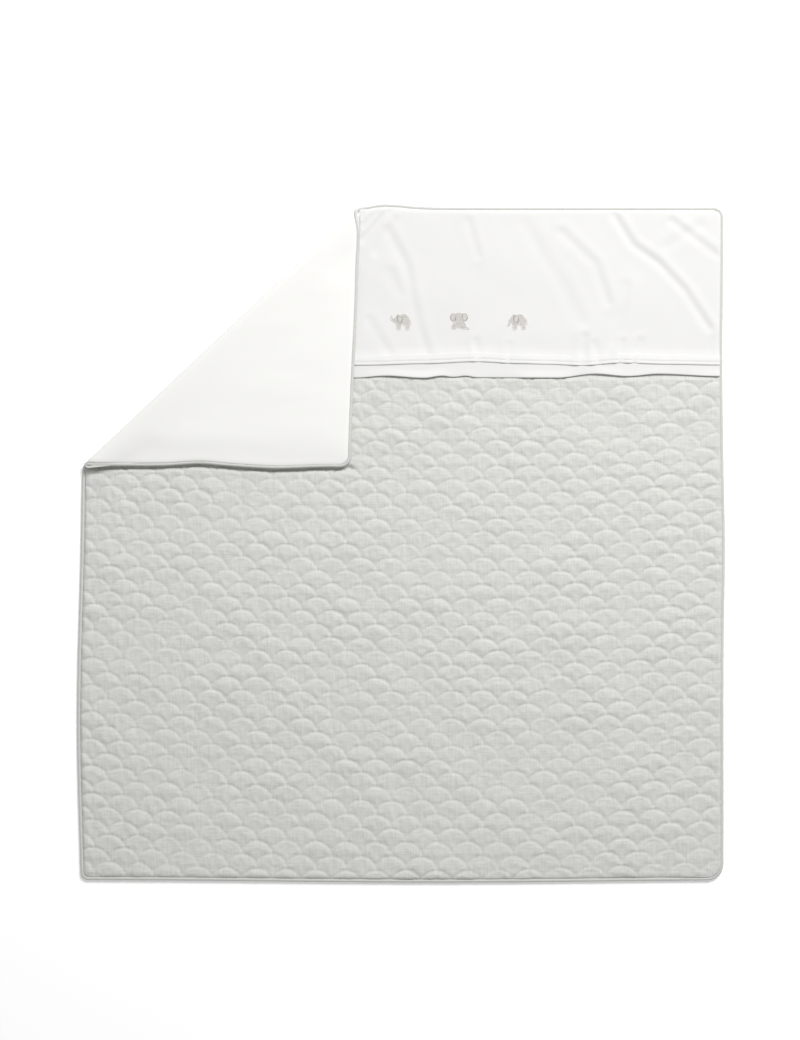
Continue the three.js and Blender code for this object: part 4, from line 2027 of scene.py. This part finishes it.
def blend_over_fold(piece: bpy.types.Object) -> None:
    """Bake a piece's placement into its mesh, for a piece that goes round the fold.

    Args:
        piece: a piece that goes round the fold.
    """
    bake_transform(piece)


@dataclass
class Piping:
    """The corded edge: bias cloth round a cord, all the way round the quilt."""

    plan: QuiltPlan
    finishes: Finishes
    step: float = 2.6 * MM
    sides: int = 14
    cover_pucker: float = 0.16 * MM
    cord_pucker: float = 0.05 * MM
    cover_wall: float = 0.9 * MM
    round_size: float = 4 * MM
    blend_low: float = 6.6 * MM
    blend_high: float = 8.9 * MM

    def tube(self, name: str, radius: float, pucker: float) -> bpy.types.Object:
        """Make one closed tube round the quilt.

        Args:
            name: the piece's name.
            radius: the tube's radius.
            pucker: how deep the cloth's small gathers are.

        Returns:
            The tube.
        """
        plan = self.plan
        path = plan.outline.walk(plan.piping_radius, self.step)
        count = len(path)
        angles = np.linspace(0, 2 * math.pi, self.sides, endpoint=False)
        travel = np.arange(count) * self.step
        ring, turn = np.meshgrid(travel, angles * self.round_size, indexing="ij")
        gather = SoftNoise(61, 3.4 * MM, 3.0 * MM).at(ring, turn)
        gather += 0.6 * SoftNoise(62, 9 * MM, 6.0 * MM).at(ring, turn)
        reach = radius + pucker * gather
        out = reach * np.cos(angles)[None, :]
        up = reach * np.sin(angles)[None, :]
        x = path[:, 0][:, None] + path[:, 2][:, None] * out
        y = path[:, 1][:, None] + path[:, 3][:, None] * out
        flat = np.stack([x, y, plan.piping_height + up], axis=-1)
        points = plan.carry_round(flat)
        index = np.arange(count * self.sides).reshape(count, self.sides)
        after, beside = np.roll(index, -1, axis=0), np.roll(index, -1, axis=1)
        both = np.roll(after, -1, axis=1)
        faces = np.stack([index, after, both, beside], axis=-1).reshape(-1, 4)
        return new_object(name, points, faces[:, ::-1].tolist())

    def build(self) -> list[bpy.types.Object]:
        """Make the cover and the cord inside it.

        Returns:
            The two finished tubes.
        """
        pieces = []
        nodes = frame["nodes"]
        outer = self.plan.piping_radius
        for name, kind, radius, pucker, material, slot in (
            ("piping_cloth", "cover", outer, self.cover_pucker,
             self.finishes.piping, "piping_cloth"),
            ("piping_cord_inside", "cord", outer - self.cover_wall, self.cord_pucker,
             self.finishes.cord, "piping_cord"),
        ):
            piece = self.tube(name, radius, pucker)
            dress(piece, material)
            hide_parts(*[n for n in nodes if "piping_" + kind in n])
            blend_over_fold(piece)
            pieces.append(piece)
        return pieces


# ---- embroidery


@dataclass
class Elephants:
    """Three small elephants in satin stitch, filled in from the frame's outlines."""

    plan: QuiltPlan
    panel: HeadPanel
    finishes: Finishes
    stitches: StitchMaker
    fill: StitchKind = StitchKind(1.9 * MM, 2.3 * MM, 0.42 * MM)
    border: StitchKind = StitchKind(0.40 * MM, 0.9 * MM, 0.42 * MM, across=True)
    ear_border: StitchKind = StitchKind(0.36 * MM, 1.5 * MM, 0.42 * MM, across=True)
    body_lift: float = 0.35 * MM
    top_lift: float = 0.7 * MM
    body_slant: float = 0.5
    top_slant: float = 1.2
    spacing: float = 0.40 * MM
    least_run: float = 0.6 * MM
    run_step: float = 0.8 * MM
    run_inset: float = 0.2 * MM
    same_height: float = 0.01 * MM
    same_digits: int = 6

    def outline(self, node: str) -> np.ndarray:
        """Return the outline of a frame node's top face, in order.

        Args:
            node: the node's name.

        Returns:
            The outline's points along X and Y.
        """
        source = frame["nodes"][node].data
        points = np.array([v.co for v in source.vertices])
        top = points[:, 2].max() - self.same_height
        counts: dict[tuple, int] = {}
        keys = [tuple(np.round(p[:2], self.same_digits)) for p in points]
        for polygon in source.polygons:
            corner = list(polygon.vertices)
            if not all(points[i, 2] > top for i in corner):
                continue
            for a, b in zip(corner, corner[1:] + corner[:1]):
                edge = tuple(sorted((keys[a], keys[b])))
                counts[edge] = counts.get(edge, 0) + 1
        links: dict[tuple, list] = {}
        for (a, b), times in counts.items():
            if times == 1:
                links.setdefault(a, []).append(b)
                links.setdefault(b, []).append(a)
        here = next(iter(links))
        walk, before = [here], None
        while len(walk) <= len(links):
            ahead = next(p for p in links[here] if p != before)
            if ahead == walk[0]:
                break
            walk.append(ahead)
            before, here = here, ahead
        return np.array(walk)

    def lay(self, x: np.ndarray, y: np.ndarray, lift: float) -> np.ndarray:
        """Return places on the panel, raised by the thread's own height."""
        z = self.panel.panel_height(x, y) + lift
        return self.plan.place(np.stack([x, y, z], axis=-1), Side.QUILT)

    def hatch(self, outline: np.ndarray, slant: float, lift: float) -> list[np.ndarray]:
        """Return close parallel lines that fill an outline.

        Args:
            outline: the outline's points.
            slant: the lines' slant, in radians.
            lift: the threads' height over the panel.

        Returns:
            The points of each line.
        """
        turn = np.array([[math.cos(slant), math.sin(slant)], [-math.sin(slant), math.cos(slant)]])
        flat = outline @ turn.T
        lines = []
        levels = np.arange(flat[:, 1].min() + self.spacing / 2, flat[:, 1].max(), self.spacing)
        a, b = flat, np.roll(flat, -1, axis=0)
        for level in levels:
            crosses = (a[:, 1] > level) != (b[:, 1] > level)
            share = (level - a[crosses, 1]) / (b[crosses, 1] - a[crosses, 1])
            cuts = np.sort(a[crosses, 0] + share * (b[crosses, 0] - a[crosses, 0]))
            for start, end in zip(cuts[::2], cuts[1::2]):
                if end - start < self.least_run:
                    continue
                count = max(2, round((end - start) / self.run_step))
                along = np.linspace(start + self.run_inset, end - self.run_inset, count + 1)
                points = np.stack([along, np.full_like(along, level)], axis=-1) @ turn
                lines.append(self.lay(points[:, 0], points[:, 1], lift))
        return lines

    def build(self) -> list[bpy.types.Object]:
        """Embroider every part of every elephant.

        Returns:
            The finished pieces.
        """
        pieces = []
        for node in sorted(n for n in frame["nodes"] if n.startswith("elephant_")):
            outline = self.outline(node)
            is_body, is_ear = node.endswith("_body"), "_ear" in node
            lift = self.body_lift if is_body else self.top_lift
            slant = self.body_slant if is_body else self.top_slant
            border = self.ear_border if is_ear else self.border
            edge_thread = self.finishes.dark if is_ear else self.finishes.pale
            hatch = self.hatch(outline, slant, lift)
            loop = np.concatenate([outline, outline[:1]])
            rim = self.lay(loop[:, 0], loop[:, 1], lift)
            filled = self.stitches.sew(node + "_fill", hatch, self.fill, self.finishes.pale)
            edged = self.stitches.sew(node + "_edge", [rim], border, edge_thread)
            for piece in (filled, edged):
                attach(piece, Side.QUILT.value)
                pieces.append(piece)
            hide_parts(node)
        return pieces


# ---- studio


@dataclass(frozen=True)
class Studio:
    """A pale floor, soft light and a camera straight above."""

    view_height: float = 1.539
    centre: tuple[float, float] = (-0.0044, 0.0348)
    quilt_height: float = 8 * MM
    lens: float = 85.0
    film: float = 36.0
    floor_reach: float = 6.0
    floor_glow: float = 0.2
    sky_strength: float = 0.42
    lamp_place: tuple[float, float, float] = (1.0, 2.25, 2.8)
    lamp_size: float = 1.3
    lamp_power: float = 125.0

    def build(self) -> None:
        """Make the floor, the lights and the camera."""
        self._floor()
        self._lights()
        self._camera()
        settings = bpy.context.scene.view_settings
        settings.view_transform = "Standard"
        settings.look = "None"

    def _floor(self) -> None:
        """Lay a wide pale floor."""
        turns = ((-1, -1, 0), (1, -1, 0), (1, 1, 0), (-1, 1, 0))
        floor = new_object("floor", self.floor_reach * np.array(turns), [[0, 1, 2, 3]])
        material = bpy.data.materials.new("floor")
        material.use_nodes = True
        shader = material.node_tree.nodes["Principled BSDF"]
        shader.inputs["Base Color"].default_value = (0.93, 0.93, 0.93, 1)
        shader.inputs["Emission Color"].default_value = (1, 1, 1, 1)
        shader.inputs["Emission Strength"].default_value = self.floor_glow
        shader.inputs["Roughness"].default_value = 0.9
        shader.inputs["Specular IOR Level"].default_value = 0.1
        floor.data.materials.append(material)

    def _lights(self) -> None:
        """Light softly from the upper right, with a pale sky all round."""
        world = bpy.data.worlds.new("studio")
        world.use_nodes = True
        sky = world.node_tree.nodes["Background"]
        sky.inputs["Color"].default_value = (1, 1, 1, 1)
        sky.inputs["Strength"].default_value = self.sky_strength
        bpy.context.scene.world = world
        key = bpy.data.lights.new("key", "AREA")
        key.shape = "SQUARE"
        key.size = self.lamp_size
        key.energy = self.lamp_power
        lamp = bpy.data.objects.new("key", key)
        bpy.context.scene.collection.objects.link(lamp)
        lamp.location = self.lamp_place
        aim = Vector((0, 0, 0)) - lamp.location
        lamp.rotation_euler = aim.to_track_quat("-Z", "Y").to_euler()

    def _camera(self) -> None:
        """Hang the camera straight above, with its top towards the head end."""
        data = bpy.data.cameras.new("camera")
        data.lens = self.lens
        data.sensor_width = self.film
        data.sensor_fit = "AUTO"
        camera = bpy.data.objects.new("camera", data)
        bpy.context.scene.collection.objects.link(camera)
        distance = self.view_height * self.lens / self.film
        camera.location = (*self.centre, distance + self.quilt_height)
        camera.rotation_euler = (0, 0, 0)
        data.clip_end = 50
        bpy.context.scene.camera = camera


# ---- main


def main() -> None:
    """Build every piece in order, and report each one."""
    logging.basicConfig(level=logging.INFO, format="%(message)s")
    plan = QuiltPlan.from_frame()
    finishes = Finishes()
    stitches = StitchMaker()
    Studio().build()
    made: list[bpy.types.Object] = []
    cover = QuiltedCover(plan, finishes, stitches)
    made.append(cover.build(Side.QUILT, "quilted_cover_cloth", ["quilted_cover", "wadding"]))
    made.append(cover.build(Side.CORNER, "corner_cover_cloth", ["corner_cover", "corner_wadding"]))
    made += cover.sew(Side.QUILT, "quilting_stitches", 3)
    made += cover.sew(Side.CORNER, "corner_quilting_stitches", 1)
    panel = HeadPanel(plan, finishes, stitches)
    for side in Side:
        made += panel.build(side)
    made.append(Backing(plan, finishes).build())
    made += Piping(plan, finishes).build()
    made += Elephants(plan, panel, finishes, stitches).build()
    for piece in made:
        log.info("%s: %d faces", piece.name, len(piece.data.polygons))


if __name__ == "__main__":
    main()
